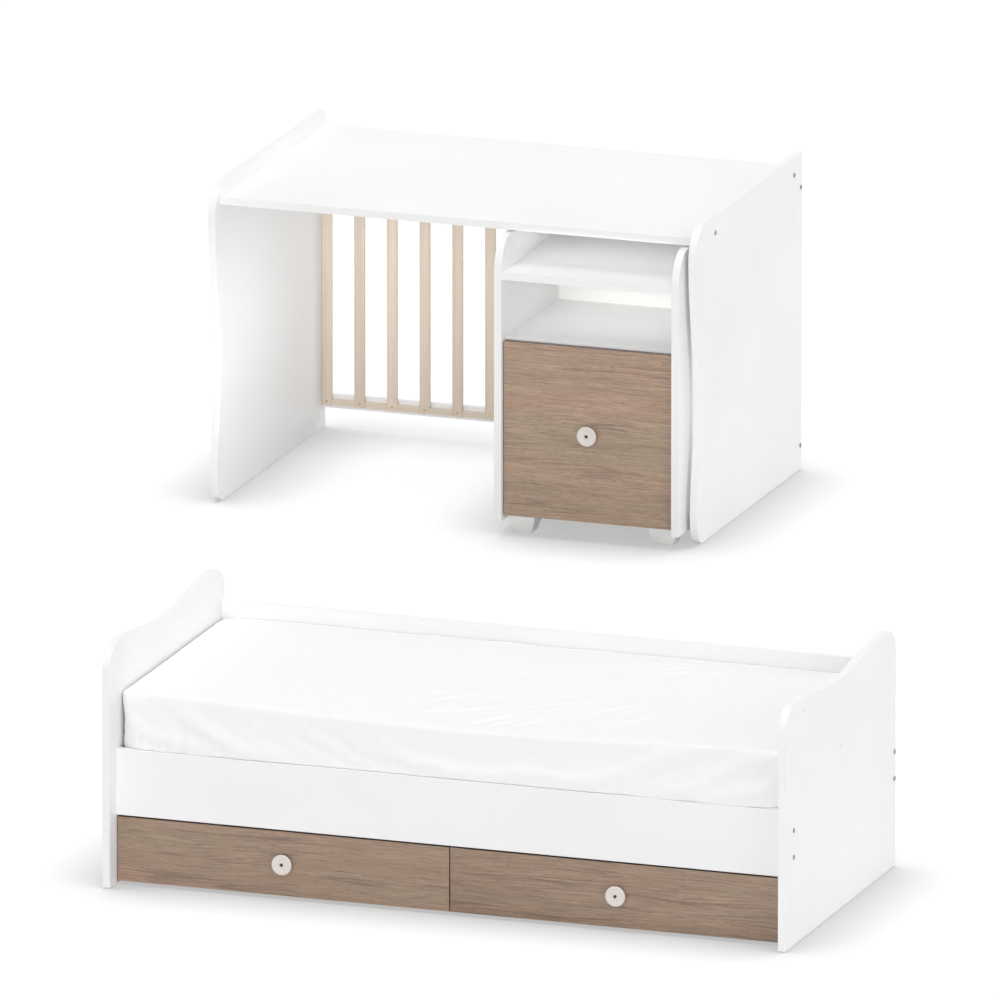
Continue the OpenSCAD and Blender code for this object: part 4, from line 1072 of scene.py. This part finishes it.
inCabinet = ("cabinet_left_side", "cabinet_right_side")
studio = {
    "floorSize": 60.0, "floorAlbedo": "#E9E9E9", "cameraAlbedo": 0.16, "cameraGlow": (0.48, 0.90),
    "contactReach": 260 * mm,      # how far from the furniture its contact shadow reaches
    "contactRange": (0.42, 0.97),  # openness of the floor from its deepest shadow to none
    "skyDiffuse": 0.40,
    # azimuth from the front towards the right, elevation, strength and softness of each lamp
    "lamps": {"front": (10, 11, 0.26, 20), "side": (66, 10, 0.15, 34), "top": (10, 86, 0.45, 40),
              "back": (150, 20, 0.26, 34)},
    # a soft panel in each opening, between two boards: how far in and how high its middle is, its
    # height, its turn to the left and tilt down, its spread in degrees and its power in watts
    "fillPanels": {
        "shelf": (inCabinet, 36 * mm, 685 * mm, 60 * mm, 0, 0, 55, 0.22),
        "compartment": (inCabinet, 2 * mm, 546 * mm, 110 * mm, 0, 8, 50, 0.076),
        "underShelf": (inCabinet, 240 * mm, 600 * mm, 260 * mm, 0, 90, 150, 0.085),
        "sideGap": (("cabinet_right_side", "desk_right_panel"), 80 * mm, 360 * mm, 600 * mm,
                    180, 0, 170, 0.03),
        "kneehole": (("desk_left_panel", "cabinet_left_side"), 90 * mm, 425 * mm, 450 * mm,
                     40, 0, 110, 0.5),
    },
}


def direction(azimuth, elevation):
    a, e = radians(azimuth), radians(elevation)
    return Vector((sin(a) * cos(e), -cos(a) * cos(e), sin(e)))


def aimed(name, data, place, away):
    # A lamp or camera at a place, looking against a direction
    piece = newPiece(name, data)
    piece.location = place
    piece.rotation_mode = "QUATERNION"
    piece.rotation_quaternion = (-away).to_track_quat("-Z", "Y")
    return piece


def seenRays(tree):
    # 1 for what the camera sees, straight or in a reflection or glass, 0 for light on the object
    path = addNode(tree, "ShaderNodeLightPath").outputs
    seen = path["Is Camera Ray"]
    for ray in ("Is Glossy Ray", "Is Transmission Ray"):
        seen = addNode(tree, "ShaderNodeMath", (seen, path[ray]), operation="MAXIMUM")
    return seen


def paleFloor():
    s = studio
    half = s["floorSize"] / 2
    corners = [(x * half, y * half, 0) for x, y in ((-1, -1), (1, -1), (1, 1), (-1, 1))]
    mesh = bpy.data.meshes.new("floor")
    mesh.from_pydata(corners, [], [(0, 1, 2, 3)])
    material = bpy.data.materials.new("paleFloor")
    tree = emptyTree(material)
    plain = addNode(tree, "ShaderNodeBsdfDiffuse", {"Color": s["floorAlbedo"]})
    shown = addNode(tree, "ShaderNodeBsdfDiffuse", {"Color": [s["cameraAlbedo"]] * 3 + [1]})
    # what the camera sees of the floor glows less near the furniture, by its ambient occlusion: a
    # painted contact shadow
    openness = addNode(tree, "ShaderNodeAmbientOcclusion", {"Distance": s["contactReach"]})
    strength = addNode(tree, "ShaderNodeMapRange", (
        openness.outputs["AO"], *s["contactRange"], *s["cameraGlow"]))
    glow = addNode(tree, "ShaderNodeEmission", {"Strength": strength})
    both = addNode(tree, "ShaderNodeAddShader", (shown, glow))
    surface = addNode(tree, "ShaderNodeMixShader", (seenRays(tree), plain, both))
    addNode(tree, "ShaderNodeOutputMaterial", {"Surface": surface})
    mesh.materials.append(material)
    newPiece("floor", mesh)


def studioLight():
    s, fills = studio, studio["fillPanels"]
    world = bpy.data.worlds.new("studio")
    scene.world = world
    tree = emptyTree(world)
    brightness = addNode(tree, "ShaderNodeMapRange", (seenRays(tree), 0, 1, s["skyDiffuse"], 1))
    sky = addNode(tree, "ShaderNodeBackground", {"Color": (1, 1, 1, 1), "Strength": brightness})
    addNode(tree, "ShaderNodeOutputWorld", {"Surface": sky})
    for name, (azimuth, elevation, strength, softness) in s["lamps"].items():
        light = bpy.data.lights.new(name + "Soft", "SUN")
        light.energy = strength * pi   # so that 1 lights a white face to full white
        light.angle = radians(softness)
        away = direction(azimuth, elevation)
        aimed(name + "Soft", light, away * 6, away)
    for name, (boards, inwards, middle, height, turn, tilt, spread, power) in fills.items():
        left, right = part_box(boards[0])[1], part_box(boards[1])[0]
        light = bpy.data.lights.new(name + "Fill", "AREA")
        light.shape, light.size, light.size_y = "RECTANGLE", (right[0] - left[0]) * 0.9, height
        light.energy, light.spread = power, radians(spread)
        place = ((left[0] + right[0]) / 2, right[1] + inwards, middle)
        aimed(name + "Fill", light, place, direction(turn, tilt)).visible_camera = False


view = {"azimuth": 19.3, "elevation": 15.0, "distance": 80.0, "lens": 1250.0, "sensor": 36,
        "target": (0.067, -0.51, 0.573), "clip": (1.0, 400.0)}


def longLens():
    s = view
    data = bpy.data.cameras.new("longLens")
    data.lens, data.sensor_width = s["lens"], s["sensor"]
    data.clip_start, data.clip_end = s["clip"]
    back = direction(s["azimuth"], s["elevation"])
    scene.camera = aimed("longLens", data, Vector(s["target"]) + back * s["distance"], back)


paleFloor()
studioLight()
longLens()
scene.view_settings.view_transform = "Standard"
print("stage ready")
